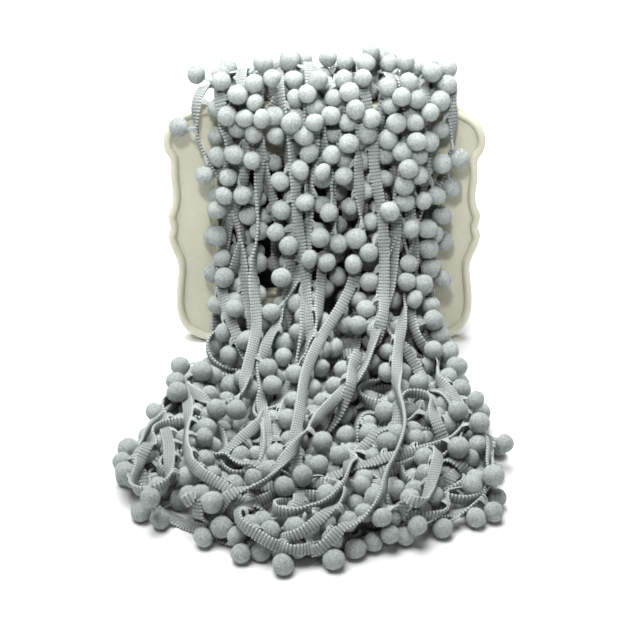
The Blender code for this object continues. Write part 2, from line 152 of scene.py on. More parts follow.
# Passes of the trim over the frame that the eye can follow. Each has its depth in the bundle, from 0 on the
# frame to 1 on the outside, and its route: x, and the distance along the bundle from the back hem.
SHOWN_PASSES = {
    "left_middle": (0.75, [(-66, 44), (-66, 90), (-66, 150), (-66, 200), (-64, 250), (-70, 290),
        (-75, 320), (-80, 350)]),
    "left_inner": (0.85, [(-58, 44), (-60, 90), (-61, 140), (-60, 185), (-58, 215), (-62, 255),
        (-62, 300), (-62, 345)]),
    "fall_09": (1.0, [(-60, 44), (-58, 90), (-57, 130), (-50, 157), (-45, 186), (-45, 225), (-47, 255),
        (-54, 290), (-50, 315), (-45, 333), (-48, 352), (-55, 388), (-60, 419), (-76, 432),
        (-90, 440)]),
    "left_deep": (0.7, [(-46, 44), (-46, 90), (-48, 140), (-52, 190), (-56, 225), (-60, 270),
        (-56, 310), (-56, 345)]),
    "fall_01": (1.0, [(-24, 44), (-25, 90), (-26, 140), (-27, 172), (-26, 205), (-25, 230), (-20, 260),
        (-18, 296), (-20, 340)]),
    "fall_06": (0.85, [(-14, 44), (-14, 90), (-14, 150), (-14, 220), (-16, 270), (-22, 304), (-30, 327),
        (-38, 345), (-44, 367), (-50, 392)]),
    "fall_02": (1.0, [(-6, 44), (-6, 100), (-8, 150), (-7, 186), (-8, 226), (-13, 255), (-15, 290),
        (-12, 340)]),
    "fall_03": (1.0, [(8, 44), (12, 110), (14, 160), (14, 192), (7, 222), (6, 250), (-1, 285),
        (-5, 325), (-14, 352)]),
    "fall_04": (1.0, [(26, 44), (27, 100), (31, 140), (35, 165), (36, 192), (40, 218), (42, 243),
        (40, 290), (44, 345)]),
    "fall_05": (0.92, [(24, 44), (22, 100), (22, 150), (24, 200), (31, 248), (26, 274), (19, 300),
        (3, 330), (-9, 352), (-20, 380), (-19, 407), (-18, 440), (-19, 466)]),
    "fall_08": (1.0, [(44, 44), (44, 110), (48, 146), (56, 172), (61, 200), (62, 228), (56, 246),
        (48, 264), (43, 282), (38, 320), (46, 350)]),
    "long_01": (0.95, [(58, 44), (58, 100), (57, 160), (56, 220), (55, 264), (52, 285), (51, 300),
        (47, 320), (40, 340), (31, 371), (20, 389), (8, 406), (-3, 430), (-13, 456), (-24, 480),
        (-37, 505), (-52, 514), (-70, 521), (-95, 526), (-114, 523)]),
    "right_middle": (0.8, [(66, 44), (66, 100), (66, 160), (66, 240), (67, 265), (72, 290), (79, 312),
        (80, 345)]),
    "long_02": (1.0, [(70, 44), (70, 100), (70, 160), (70, 210), (68, 242), (64, 264), (57, 288),
        (54, 313), (55, 340), (54, 368), (52, 402), (54, 425), (53, 448), (46, 466), (43, 490),
        (41, 508), (34, 529), (22, 541), (12, 550), (0, 555), (-12, 553)]),
    "fall_07": (0.85, [(76, 44), (76, 90), (76, 150), (74, 220), (62, 290), (56, 326), (69, 352),
        (79, 376), (86, 402)]),
    "right_outer": (0.7, [(78, 44), (80, 90), (81, 150), (82, 225), (82, 262), (76, 285), (74, 320),
        (78, 350)]),
}

# Passes that others cover: their depth, and their x at each of the same distances from the back hem
HIDDEN_ALONG = (44, 90, 150, 230, 300, 345)
HIDDEN_PASSES = {
    "left_outer": (0.45, (-78, -80, -80, -79, -79, -82)),
    "middle_1": (0.65, (-36, -38, -40, -36, -30, -32)),
    "middle_2": (0.6, (0, 2, -2, 2, -6, -4)),
    "middle_3": (0.65, (34, 32, 28, 24, 28, 26)),
    "middle_4": (0.7, (52, 50, 46, 48, 58, 60)),
    "deep_1": (0.3, (-34, -34, -32, -30, -34, -30)),
    "deep_2": (0.3, (-5, -4, -2, -4, -6, -6)),
    "deep_3": (0.3, (18, 18, 20, 22, 18, 16)),
    "deep_4": (0.35, (40, 40, 38, 36, 38, 38)),
    "deep_5": (0.35, (68, 70, 72, 72, 70, 70)),
    "deep_6": (0.15, (6, 8, 6, 9, 6, 8)),
    "deep_7": (0.5, (-22, -20, -16, -19, -26, -24)),
    "deep_8": (0.2, (52, 52, 54, 50, 52, 52)),
    "deep_9": (0.2, (-68, -70, -70, -66, -68, -66)),
}
PASSES = dict(SHOWN_PASSES)
for hidden_name, (hidden_depth, hidden_across) in HIDDEN_PASSES.items():
    PASSES[hidden_name] = (hidden_depth, list(zip(hidden_across, HIDDEN_ALONG)))

# Runs that lie on top of the pile, with the same columns
POOL_RUNS = {
    "pool_01": [(-108, 420), (-101, 436), (-97, 448), (-94, 464), (-95, 476), (-92, 490), (-88, 499),
        (-76, 506), (-65, 509)],
    "pool_02": [(-33, 530), (-22, 527), (-8, 524), (3, 522), (12, 510), (18, 486)],
    "pool_03": [(17, 506), (9, 520), (-2, 535), (-13, 544), (-27, 543)],
    "pool_04": [(-66, 531), (-55, 537), (-42, 541), (-33, 549), (-26, 555)],
    "pool_05": [(95, 529), (88, 537), (80, 536), (75, 522), (76, 501), (78, 479)],
    "pool_06": [(57, 416), (68, 431), (77, 446), (77, 460)],
    "rim_left": [(-133, 445), (-121, 452), (-111, 458), (-107, 475), (-98, 493), (-104, 504),
        (-117, 511)],
    "rim_edge": [(-112, 422), (-128, 430), (-137, 444), (-140, 462), (-139, 480), (-128, 496)],
    "rim_right": [(92, 467), (108, 460), (119, 456), (121, 466), (114, 484), (112, 500), (108, 512)],
    "cut_end": [(20, 402), (21, 385), (22, 362)],
}

# The trim from end to end. A pair goes up over the frame by its first pass and down by its second, a single
# name is a run on the pile, and a stretch that wanders through the pile comes before each.
ORDER = [
    ("deep_9", "left_outer"), ("middle_1", "middle_2"), "rim_edge", ("deep_7", "left_middle"), "pool_01",
    ("left_inner", "fall_09"), "rim_left", ("left_deep", "deep_1"), ("fall_01", "fall_06"), "pool_02",
    ("deep_2", "fall_02"), "pool_03", ("fall_03", "deep_3"), "pool_04", ("fall_04", "fall_05"),
    ("middle_3", "middle_4"), ("deep_4", "fall_08"), ("long_01", "right_middle"), ("long_02", "fall_07"),
    ("deep_8", "deep_6"), "pool_05", "rim_right", ("deep_5", "right_outer"), "pool_06", "cut_end",
]

# ---- Laying the trim out: a first line through every pass, run and wandering stretch ----

# Each seed lays the hidden stretches and the balls another way. This one was picked from 30, by how few
# holes it left over the frame's top.
SEED = 26

# Steps of the first line, and how far it strays: where the eye can follow it, where it is hidden, outward,
# on the pile and where it wanders
ROUTE_SPACING = 13.0
FINE_STEPS = 20
STRAY_STEPS = 3
STRAY_CHARTED = 4.5
STRAY_HIDDEN = 7.0
STRAY_OUTWARD = 3.0
STRAY_POOL = 2.5
STRAY_WANDER = 3.0

# Where a line may lie in the bundle: from its sides, its outer side and its inner side. RUN_HALF is how far
# ahead and back the bundle's direction is taken.
SIDE_MOST = 0.97
BELOW_OUTER = 5.0
ABOVE_INNER = 4.0
LEAST_ROOM = 2.0
RUN_HALF = 6.0

# Distances along the bundle where the hem ends, and where the fall turns into the pile
HEM_END = 60.0
PILE_START = 300.0
PILE_BLEND = 60.0
FALL_END = 345.0

# The crest over the frame's top: its rise, its place along the bundle and its place across
CREST_RISE = 4.0
CREST_TOP = 122.0
CREST_REACH = 34.0
CREST_PEAK = 18.0
CREST_HALF_WIDTH = 90.0

# Passes whose depth is more than TOP_DEPTH lie on top of the pile. What is on the pile starts lifted.
TOP_DEPTH = 0.8
TOP_RISE = 10.0
FIRST_LIFT = 30.0

# Stretches that wander through the pile, each in one of two layers. The upper one rises towards the back.
WANDER_START = (-40.0, -120.0)
WANDER_STEP = 26.0
WANDER_TURNS = (-1.0, -0.66, -0.33, 0.0, 0.33, 0.66, 1.0)
WANDER_REACH = 300.0
RIM_MARGIN = 8.0
PILE_END = -70.0
LAYER_HEIGHTS = (9.0, 30.0)
LAYER_STRAY = 3.0
BACK_Y = 110.0
BACK_BLEND = 90.0
BACK_LIFT = 18.0

# What a wandering step costs besides the crowd: chance, turning, and what lies two steps ahead
WANDER_CHANCE = 1.5
TURN_COST = 0.6
FAR_COST = 0.5

# The crowd: how much trim lies in each cell of the pile, and a band along its front rim that draws some
CROWD_CELL = 12.0
CROWD_SHARE = 0.5
CROWD_FRONT = -100.0
RIM_EXTRA = 2.5
RIM_BAND = 32.0
RIM_FRONT = -150.0

# How the braid is turned about its own line, how much more on the crest, and how far its balls stray
TWIST_STATIONS = 7
TWIST_ANGLE = 1.3
CREST_TWIST = 1.1
CREST_RANGE = (70.0, 180.0)
BALL_STRAY = 1.0

# Balls that lie out on the bundle: where, the share of them on the crest and below it, and their places
HEAPED_RANGE = (80.0, 300.0)
HEAPED_SHARE = (0.48, 0.08)
HEAPED_BLEND = 30.0
HEAPED_LIFT = 6.0
HEAPED_HANG = 8.0
HEAPED_ASIDE = (5.0, 13.0)

# What holds a station where the route has it
LOOSE, ON_TOP, HEM, FALL = range(4)


def catmull_rom(points, place):
    """Points of a smooth curve through the given ones: so many in all, or at places counted in points."""
    points = np.asarray(points, float)
    if isinstance(place, int):
        place = np.linspace(0, len(points) - 1, place)
    at = np.minimum(place.astype(int), len(points) - 2)
    part = (place - at)[:, None]
    before = points[np.maximum(at - 1, 0)]
    start = points[at]
    end = points[at + 1]
    after = points[np.minimum(at + 2, len(points) - 1)]
    first = end - before
    second = 2 * before - 5 * start + 4 * end - after
    third = 3 * start - before - 3 * end + after
    return 0.5 * (2 * start + first * part + second * part**2 + third * part**3)


def lengths(rows):
    return np.sqrt(np.einsum("ij,ij->i", rows, rows))


def unit(rows):
    return rows / (lengths(rows) + TINY)[:, None]


def distances_along(line):
    """How far along the line each of its points lies."""
    return np.r_[0.0, np.cumsum(lengths(np.diff(line, axis=0)))]


def rows_at(at, places, rows):
    """The rows, which stand at the given places, read at other places."""
    return np.stack([np.interp(at, places, column) for column in rows.T], axis=-1)


def across_frame(y, z):
    """Distance square to the leaning frame, towards its back, and height along it."""
    return y * math.cos(LEAN) - z * math.sin(LEAN), y * math.sin(LEAN) + z * math.cos(LEAN)


def upright(across, height):
    """The y and z of a distance square to the leaning frame and a height along it."""
    y = across * math.cos(LEAN) + height * math.sin(LEAN)
    return y, height * math.cos(LEAN) - across * math.sin(LEAN)


def smoothed_sections():
    """The bundle's sections at even steps along its outer side, and the distance of each."""
    rows = np.asarray(HEAP_SECTIONS, float)
    along = distances_along(rows[:, 2:4])
    even = np.linspace(0.0, along[-1], SECTION_SAMPLES)
    table = rows_at(even, along, rows)
    for _ in range(SECTION_SMOOTHINGS):
        table[1:-1] = (table[:-2] + 2 * table[1:-1] + table[2:]) / 4
    return even, table


SECTION_ALONG, SECTION_TABLE = smoothed_sections()
RIM_TABLE = np.asarray(PILE_RIM, float)


def section_at(along):
    """The bundle's section at a distance along it, with the columns of HEAP_SECTIONS."""
    return rows_at(along, SECTION_ALONG, SECTION_TABLE)


def bundle_points(x, along, depth):
    """Places in the bundle, at a depth from 0, on its inner side, to 1, just under its outer side."""
    row = section_at(along)
    half = (row[:, 5] - row[:, 4]) / 2
    side = np.clip((x - (row[:, 4] + row[:, 5]) / 2) / half, -SIDE_MOST, SIDE_MOST)
    rise = np.sqrt(1 - np.abs(side) ** SHOULDER)
    inner = row[:, 0:2]
    way = row[:, 2:4] - inner
    reach = lengths(way)
    room = np.maximum(reach * rise - BELOW_OUTER, LEAST_ROOM)
    from_inner = ABOVE_INNER + depth * np.maximum(room - ABOVE_INNER, 0.0)
    place = inner + way / reach[:, None] * from_inner[:, None]
    place[:, 1] = np.maximum(place[:, 1], ABOVE_INNER)
    return np.column_stack([x, place])


def outward(along):
    """Ways out of the bundle, square to its outer side."""
    run = unit(section_at(along + RUN_HALF)[:, 2:4] - section_at(along - RUN_HALF)[:, 2:4])
    return np.column_stack([np.zeros(len(run)), run[:, 1], -run[:, 0]])


def rim_at(y):
    """The pile's left and right x at y."""
    return rows_at(y, RIM_TABLE[:, 0], RIM_TABLE[:, 1:]).T


def smooth_noise(rng, count, knots, size):
    """Values for a line of stations that stray slowly, with one random value at each of the knots."""
    values = rng.normal(0.0, size, knots + 4)
    return np.interp(np.linspace(1, knots + 2, count), np.arange(knots + 4), values)


def crowd_cell(point):
    """The cell of the crowd's table that a floor point lies in."""
    return int((point[0] + WANDER_REACH) // CROWD_CELL), int((point[1] + WANDER_REACH) // CROWD_CELL)


def add_to_crowd(crowd, point):
    """Notes a point of the trim in its cell, and half as much in the cells round it."""
    column, row = crowd_cell(point)
    crowd[column - 1:column + 2, row - 1:row + 2] += CROWD_SHARE
    crowd[column, row] += CROWD_SHARE


def room_to_rim(point):
    """How far inside the pile's rim a floor point lies."""
    left, right = rim_at(point[1])
    return min(point[0] - left, right - point[0], point[1] - RIM_TABLE[0, 0])


def outside_rim(point):
    """How far a floor point lies outside the part of the pile where the trim may wander."""
    return max(RIM_MARGIN - room_to_rim(point), point[1] - PILE_END, 0.0)


def wander(start, heading, end, length, crowd, rng):
    """Floor points of a smooth stretch that keeps inside the rim and goes where little trim lies yet."""
    here = np.array(start, float)
    done = 0.0
    points = []
    while done + np.linalg.norm(end - here) < length:
        costs = []
        for turn in WANDER_TURNS:
            way = np.array([math.cos(heading + turn), math.sin(heading + turn)])
            near = here + way * WANDER_STEP
            far = here + way * 2 * WANDER_STEP
            cost = crowd[crowd_cell(near)] + crowd[crowd_cell(far)] + rng.uniform(0.0, WANDER_CHANCE)
            costs.append(cost + TURN_COST * abs(turn) + outside_rim(near) + FAR_COST * outside_rim(far))
        heading += WANDER_TURNS[int(np.argmin(costs))]
        here = here + WANDER_STEP * np.array([math.cos(heading), math.sin(heading)])
        done += WANDER_STEP
        add_to_crowd(crowd, here)
        points.append(here)
    gap = end - here
    pieces = max(int(np.linalg.norm(gap) / WANDER_STEP), 1)
    points += [here + gap * step / pieces for step in range(1, pieces)]
    return points


def crest_share(x):
    """How high the crest stands at x: 1 at its peak, 0 at its ends."""
    return np.maximum(1.0 - ((x - CREST_PEAK) / CREST_HALF_WIDTH) ** 2, 0.0)


def pass_rows(name, rng):
    """Rows of a pass over the frame, from the back hem down to the pile. planned_rows gives the columns."""
    depth, route = PASSES[name]
    count = int((route[-1][1] - route[0][1]) / ROUTE_SPACING)
    points = catmull_rom(route, count)
    charted = name[:4] in ("fall", "long")
    stray = STRAY_CHARTED if charted else STRAY_HIDDEN
    points[:, 0] += smooth_noise(rng, count, count // STRAY_STEPS, stray)
    x, along = points.T
    out = outward(along)
    place = bundle_points(x, along, np.full(count, depth))
    crest = np.exp(-(((along - CREST_TOP) / CREST_REACH) ** 2)) * crest_share(x)
    rise = CREST_RISE * depth * crest + smooth_noise(rng, count, count // STRAY_STEPS, STRAY_OUTWARD)
    place = place + out * rise[:, None]
    on_pile = np.clip((along - PILE_START) / PILE_BLEND, 0.0, 1.0)[:, None]
    if depth > TOP_DEPTH:
        place = place + out * on_pile * TOP_RISE
    lifted = place + out * on_pile * FIRST_LIFT * depth
    hold_on_pile = ON_TOP if depth > TOP_DEPTH else LOOSE
    hold = np.where(along < HEM_END, HEM, np.where(along < FALL_END, FALL, hold_on_pile))
    return np.column_stack([lifted, place, out, along, hold])


def pool_rows(name, rng):
    """Rows of a run that lies on top of the pile."""
    route = np.array(POOL_RUNS[name], float)
    count = max(3, int(lengths(np.diff(route, axis=0)).sum() / ROUTE_SPACING))
    x, along = (catmull_rom(route, count) + rng.normal(0.0, STRAY_POOL, (count, 2))).T
    out = outward(along)
    place = bundle_points(x, along, np.ones(count)) + out * TOP_RISE
    return np.column_stack([place + out * FIRST_LIFT, place, out, along, np.full(count, ON_TOP)])


def wander_rows(start, heading, goal, length, layer, crowd, rng):
    """Rows of a stretch that wanders through the pile, in its lower or its upper layer."""
    points = np.array(wander(start, heading, goal, length, crowd, rng))
    points += rng.normal(0.0, STRAY_WANDER, points.shape)
    height = LAYER_HEIGHTS[layer] + rng.uniform(-LAYER_STRAY, LAYER_STRAY, len(points))
    height += np.clip((points[:, 1] + BACK_Y) / BACK_BLEND, 0.0, 1.0) * BACK_LIFT * layer
    place = np.column_stack([points, height])
    up = np.tile([0.0, 0.0, 1.0], (len(points), 1))
    far = np.full(len(points), 2 * FALL_END)
    return np.column_stack([place, place, up, far, np.full(len(points), LOOSE)])


def crowd_of(stretches):
    """How much trim lies in each cell of the pile. Its front rim starts below none, to draw some there."""
    cells = int(2 * WANDER_REACH / CROWD_CELL) + 4
    crowd = np.zeros((cells, cells))
    for column, row in np.ndindex(crowd.shape):
        point = (np.array([column, row]) + 0.5) * CROWD_CELL - WANDER_REACH
        if 0.0 < room_to_rim(point) < RIM_BAND and point[1] < RIM_FRONT:
            crowd[column, row] -= RIM_EXTRA
    for rows in stretches:
        for point in rows[rows[:, 4] < CROWD_FRONT, 3:5]:
            add_to_crowd(crowd, point)
    return crowd


def planned_rows(rng):
    """Rows of the first line: where each point starts, where it belongs, its outward way, along, hold."""
    stretches = []
    for entry in ORDER:
        stretches.append(None)
        if isinstance(entry, tuple):
            up, down = entry
            stretches.append(pass_rows(up, rng)[::-1])
            stretches.append(pass_rows(down, rng))
        else:
            stretches.append(pool_rows(entry, rng))
    fixed = [rows for rows in stretches if rows is not None]
    fixed_length = sum(lengths(np.diff(rows[:, 3:6], axis=0)).sum() for rows in fixed)
    share = (TRIM_LENGTH - fixed_length) / (len(stretches) - len(fixed))
    crowd = crowd_of(fixed)
    start, heading, layer = np.array(WANDER_START), 0.0, 0
    for index, rows in enumerate(stretches):
        if rows is None:
            goal = stretches[index + 1][0, 3:5]
            stretches[index] = wander_rows(start, heading, goal, share, layer, crowd, rng)
            layer = 1 - layer
        else:
            last, start = rows[-2:, 3:5]
            heading = math.atan2(*(start - last)[::-1])
    return np.vstack(stretches)


def first_line(rng):
    """The stations of the whole trim: start, target, outward way, along and hold."""
    rows = planned_rows(rng)
    fine = catmull_rom(rows[:, :10], (len(rows) - 1) * FINE_STEPS + 1)
    distance = distances_along(fine[:, 3:6])
    count = int(TRIM_LENGTH / STATION) // STATIONS_PER_POMPOM * STATIONS_PER_POMPOM
    at = np.linspace(0.0, distance[-1], count)
    line = rows_at(at, distance, fine)
    row = np.interp(at, distance, np.arange(len(fine))) / FINE_STEPS
    hold = rows[np.round(row).astype(int), 10]
    return line[:, 0:3], line[:, 3:6], line[:, 6:9], line[:, 9], hold


# ---- Settling: the braid's two edges and the balls as particles that keep their distances ----

# Steps in all, at the end for resting, at the start for growing to full size and of the stronger early pull
SETTLE_STEPS = 300
REST_STEPS = 80
GROW_STEPS = 70
GROWN_AT_START = 0.35
EARLY_STEPS = 140
SOLVER_ROUNDS = 3

# Movement in one step
GRAVITY_STEP = 0.12
REST_GRAVITY = 0.5
SLOWING = 0.90
FASTEST_STEP = 2.5
SURFACE_DRAG = 0.35

# Share of the way to its place that each kind of station and the heaped balls are drawn in one step
TOP_PULL = 0.06
FALL_PULL_EARLY = 0.06
FALL_PULL_LATE = 0.03
HEM_PULL = 0.15
HEAPED_PULL = 0.08

# How much of an error in distance each round mends on either side, and what bends at 2 and 4 stations
STEM_GIVE = 0.45
CLEAR_GIVE = 0.25
FULL_GIVE = 0.5
SHEAR_GIVE = 0.3
BENDING = ((2, 0.05), (4, 0.01))
TOUCH_GIVE = 0.5
MIDDLE_GIVE = 0.6
ON_TOP_GIVE = 0.4
PILE_GIVE = 0.3

# Distances that things keep from each other, and how near they must be to be looked at
BALL_TO_BALL = 2 * POMPOM_RADIUS - 0.9
BALL_TO_BRAID = POMPOM_RADIUS + 1.0
BRAID_TO_BRAID = 3.4
OWN_BRAID = 14.5
NEAR_ENOUGH = 3.5
NEAR_STATIONS = 3
SEARCH_CELL = 16.5
SEARCH_EVERY = 4

# Distances from the floor and the frame. Below HEM_HEIGHT everything is kept in front of the frame.
FLOOR_BRAID = 0.9
BALL_CLEAR = 0.1
FRAME_GAP_BRAID = 2.6
FRAME_GAP_BALL = POMPOM_RADIUS + 1.2
HEM_HEIGHT = 90.0

# The pile's form, below PILE_HEIGHT and in front of PILE_BACK: how far inside its rim and above its top the
# braid and the balls are kept. Where a value is negative they are let past the rim, or held under the top.
PILE_HEIGHT = 60.0
PILE_BACK = -50.0
BRAID_RIM = 3.0
RIM_STRAY = 6.0
BALL_RIM = (-0.6, 1.8)
STRAY_BALLS = 0.07
STRAY_BALL_RIM = -1.6
HEADROOM_TOP = 8.0
HEADROOM_LOOSE = -3.0
HEADROOM_BALLS = -2.0

# Half of the neighbouring cells, so that each pair is found once
CELL_STEPS = [step for step in itertools.product((-1, 0, 1), repeat=3) if step >= (0, 0, 0)]


def near_pairs(points):
    """Index pairs of the points in the same or neighbouring cells of a grid."""
    cell = np.floor(points / SEARCH_CELL).astype(np.int64)
    cell -= cell.min(axis=0)
    size = cell.max(axis=0) + 3
    key = (cell[:, 0] * size[1] + cell[:, 1]) * size[2] + cell[:, 2]
    order = np.argsort(key, kind="stable")
    ordered = key[order]
    first, second = [], []
    for step in CELL_STEPS:
        shift = (step[0] * size[1] + step[1]) * size[2] + step[2]
        low = np.searchsorted(ordered, ordered + shift, side="left")
        high = np.searchsorted(ordered, ordered + shift, side="right")
        if shift == 0:
            low = np.arange(len(ordered)) + 1
        found = np.maximum(high - low, 0)
        within = np.arange(found.sum()) - np.repeat(np.cumsum(found) - found, found)
        first.append(order[np.repeat(np.arange(len(ordered)), found)])
        second.append(order[np.repeat(low, found) + within])
    return np.concatenate(first), np.concatenate(second)


def hold_apart(first, second, rest, share, only_short=False):
    """Moves two rows of points, in place, towards their rest distance."""
    gap = second - first
    length = lengths(gap) + TINY
    error = length - rest
    if only_short:
        error = np.minimum(error, 0.0)
    move = gap * (share * error / length)[:, None]
    first += move
    second -= move


def keep_off_frame(points, gap):
    """Moves the points that are in the leaning frame out through its nearest side, and low ones forward."""
    across, height = across_frame(points[:, 1], points[:, 2])
    rooms = [across - (FRAME_FACE - gap), (FRAME_BACK + gap) - across, (FRAME_HEIGHT + gap) - height]
    rooms = np.stack(rooms)
    inside = (rooms > 0).all(axis=0)
    inside |= (height < HEM_HEIGHT) & (rooms[0] > 0)
    inside &= np.abs(points[:, 0]) < FRAME_HALF_WIDTH + gap
    nearest = rooms.argmin(axis=0) * (height > HEM_HEIGHT)
    front, back, top = (np.where(inside & (nearest == side), room, 0.0) for side, room in enumerate(rooms))
    move_y, move_z = upright(back - front, top)
    points[:, 1] += move_y
    points[:, 2] += move_z


def keep_in_pile(points, radius, headroom):
    """Eases the points back inside the pile's rim and under its top."""
    x, y, z = points.T
    left, right = rim_at(y)
    over = np.minimum(x - left - radius, 0.0) + np.maximum(x - right + radius, 0.0)
    points[:, 0] -= PILE_GIVE * over * (z < PILE_HEIGHT)
    points[:, 1] -= PILE_GIVE * np.minimum(y - RIM_TABLE[0, 0] - radius, 0.0)
    ceiling = np.interp(y, SECTION_TABLE[::-1, 2], SECTION_TABLE[::-1, 3]) + headroom
    points[:, 2] -= PILE_GIVE * np.maximum(z - ceiling, 0.0) * (y < PILE_BACK)


class Trim:
    """The trim as particles: the plain edge, the edge with the stems, and the balls."""

    def __init__(self, rng):
        line, target, out, from_hem, self.hold = first_line(rng)
        count = len(line)
        along = unit(np.gradient(line, axis=0))
        side = unit(np.cross(out, along))
        face = unit(np.cross(along, side))
        twist = smooth_noise(rng, count, count // TWIST_STATIONS, TWIST_ANGLE)
        on_crest = (from_hem > CREST_RANGE[0]) & (from_hem < CREST_RANGE[1])
        twist = (twist + CREST_TWIST * on_crest)[:, None]
        side = side * np.cos(twist) + face * np.sin(twist)
        half = side * BRAID_WIDTH / 2
        self.plain = line - half
        self.tied = line + half
        self.targets = (target - half, target + half)
        self.knots = np.arange(1, count, STATIONS_PER_POMPOM)
        self.balls = self.tied[self.knots] + side[self.knots] * STEM_TO_CENTRE
        self.balls += rng.normal(0.0, BALL_STRAY, self.balls.shape)
        self.heap_balls(target, out, from_hem, rng)
        self.balls[:, 2] = np.maximum(self.balls[:, 2], POMPOM_RADIUS)
        self.braid_rim = BRAID_RIM + np.abs(smooth_noise(rng, count, count // TWIST_STATIONS, RIM_STRAY))
        self.ball_rim = rng.uniform(*BALL_RIM, len(self.balls)) * POMPOM_RADIUS
        self.ball_rim[rng.random(len(self.balls)) < STRAY_BALLS] = STRAY_BALL_RIM * POMPOM_RADIUS
        self.braid_headroom = np.where(self.hold == LOOSE, HEADROOM_LOOSE, HEADROOM_TOP)

    def heap_balls(self, target, out, from_hem, rng):
        """Chooses the balls that lie out on the crest and the fall, and where they are drawn to."""
        at_ball = from_hem[self.knots]
        in_range = (at_ball > HEAPED_RANGE[0]) & (at_ball < HEAPED_RANGE[1])
        share = np.where(at_ball < CREST_RANGE[1], *HEAPED_SHARE)
        self.heaped = np.flatnonzero(in_range & (rng.random(len(at_ball)) < share))
        knots = self.knots[self.heaped]
        down_fall = np.clip((from_hem[knots] - CREST_RANGE[1]) / HEAPED_BLEND, 0.0, 1.0)
        lift = HEAPED_LIFT * np.maximum(crest_share(target[knots, 0]), down_fall)
        along = from_hem[knots] + HEAPED_HANG * down_fall
        outside = bundle_points(target[knots, 0], along, np.ones(len(knots)))
        self.heap_targets = outside + out[knots] * lift[:, None]
        aside = rng.choice((-1.0, 1.0), len(knots)) * rng.uniform(*HEAPED_ASIDE, len(knots))
        self.heap_targets[:, 0] += aside

    def contact_points(self):
        """The braid's plain edge, middle and tied edge, and the balls."""
        return np.concatenate([self.plain, (self.plain + self.tied) / 2, self.tied, self.balls])

    def find_contacts(self):
        """Pairs that may meet, with the distance each pair keeps."""
        count = len(self.plain)
        stations = np.arange(count)
        owner = np.concatenate([stations, stations, stations, self.knots])
        is_ball = np.arange(3 * count + len(self.balls)) >= 3 * count
        points = self.contact_points()
        first, second = near_pairs(points)
        both = is_ball[first] & is_ball[second]
        neither = ~is_ball[first] & ~is_ball[second]
        apart = np.where(both, BALL_TO_BALL, np.where(neither, BRAID_TO_BRAID, BALL_TO_BRAID))
        same_place = neither & (np.abs(owner[first] - owner[second]) <= NEAR_STATIONS)
        near = lengths(points[second] - points[first]) < apart + NEAR_ENOUGH
        keep = near & ~same_place
        return first[keep], second[keep], apart[keep]

    def push_apart(self, contacts, grown):
        """Parts what meets, and returns which contact points touched something."""
        first, second, apart = contacts
        points = self.contact_points()
        gap = points[second] - points[first]
        length = lengths(gap) + TINY
        lack = apart * grown - length
        hit = lack > 0
        first, second = first[hit], second[hit]
        push = gap[hit] * (TOUCH_GIVE * lack[hit] / length[hit])[:, None]
        size = len(points)
        touches = np.bincount(first, minlength=size) + np.bincount(second, minlength=size)
        move = [np.bincount(second, part, size) - np.bincount(first, part, size) for part in push.T]
        move = np.stack(move, axis=1) / np.maximum(1.0, TOUCH_GIVE * touches)[:, None]
        count = len(self.plain)
        give = np.where(self.hold == ON_TOP, ON_TOP_GIVE, 1.0)[:, None]
        middle = move[count:2 * count] * MIDDLE_GIVE
        self.plain += (move[:count] + middle) * give
        self.tied += (move[2 * count:3 * count] + middle) * give
        self.balls += move[3 * count:]
        return touches > 0

    def keep_clear(self):
        """Keeps everything off the floor and the frame and inside the pile's form."""
        for points, floor, gap, radius, headroom in (
            (self.plain, FLOOR_BRAID, FRAME_GAP_BRAID, self.braid_rim, self.braid_headroom),
            (self.tied, FLOOR_BRAID, FRAME_GAP_BRAID, self.braid_rim, self.braid_headroom),
            (self.balls, POMPOM_RADIUS + BALL_CLEAR, FRAME_GAP_BALL, self.ball_rim, HEADROOM_BALLS),
        ):
            keep_off_frame(points, gap)
            keep_in_pile(points, radius, headroom)
            points[:, 2] = np.maximum(points[:, 2], floor)

    def keep_sizes(self):
        """Stems, stretch, width, shear and bending, each as distances."""
        knots = self.knots
        tied, plain = self.tied[knots], self.plain[knots]
        hold_apart(tied, self.balls, STEM_TO_CENTRE, STEM_GIVE)
        hold_apart(plain, self.balls, OWN_BRAID, CLEAR_GIVE, only_short=True)
        self.tied[knots], self.plain[knots] = tied, plain
        for edge in (self.plain, self.tied):
            for start in (0, 1):
                pairs = len(edge[start:]) // 2 * 2
                hold_apart(edge[start:start + pairs:2], edge[start + 1:start + pairs:2], STATION, FULL_GIVE)
        hold_apart(self.plain, self.tied, BRAID_WIDTH, FULL_GIVE)
        diagonal = math.hypot(STATION, BRAID_WIDTH)
        hold_apart(self.plain[:-1], self.tied[1:], diagonal, SHEAR_GIVE)
        hold_apart(self.tied[:-1], self.plain[1:], diagonal, SHEAR_GIVE)
        for edge in (self.plain, self.tied):
            for apart, give in BENDING:
                hold_apart(edge[:-apart], edge[apart:], apart * STATION, give, only_short=True)

    def pull_to_route(self, step):
        """Draws the hem, the fall, the runs on top and the heaped balls towards their places."""
        fall = FALL_PULL_EARLY if step < EARLY_STEPS else FALL_PULL_LATE
        top = TOP_PULL if step < SETTLE_STEPS - REST_STEPS // 2 else FALL_PULL_LATE
        strength = np.choose(self.hold.astype(int), [0.0, top, HEM_PULL, fall])[:, None]
        self.plain += (self.targets[0] - self.plain) * strength
        self.tied += (self.targets[1] - self.tied) * strength
        self.balls[self.heaped] += (self.heap_targets - self.balls[self.heaped]) * HEAPED_PULL

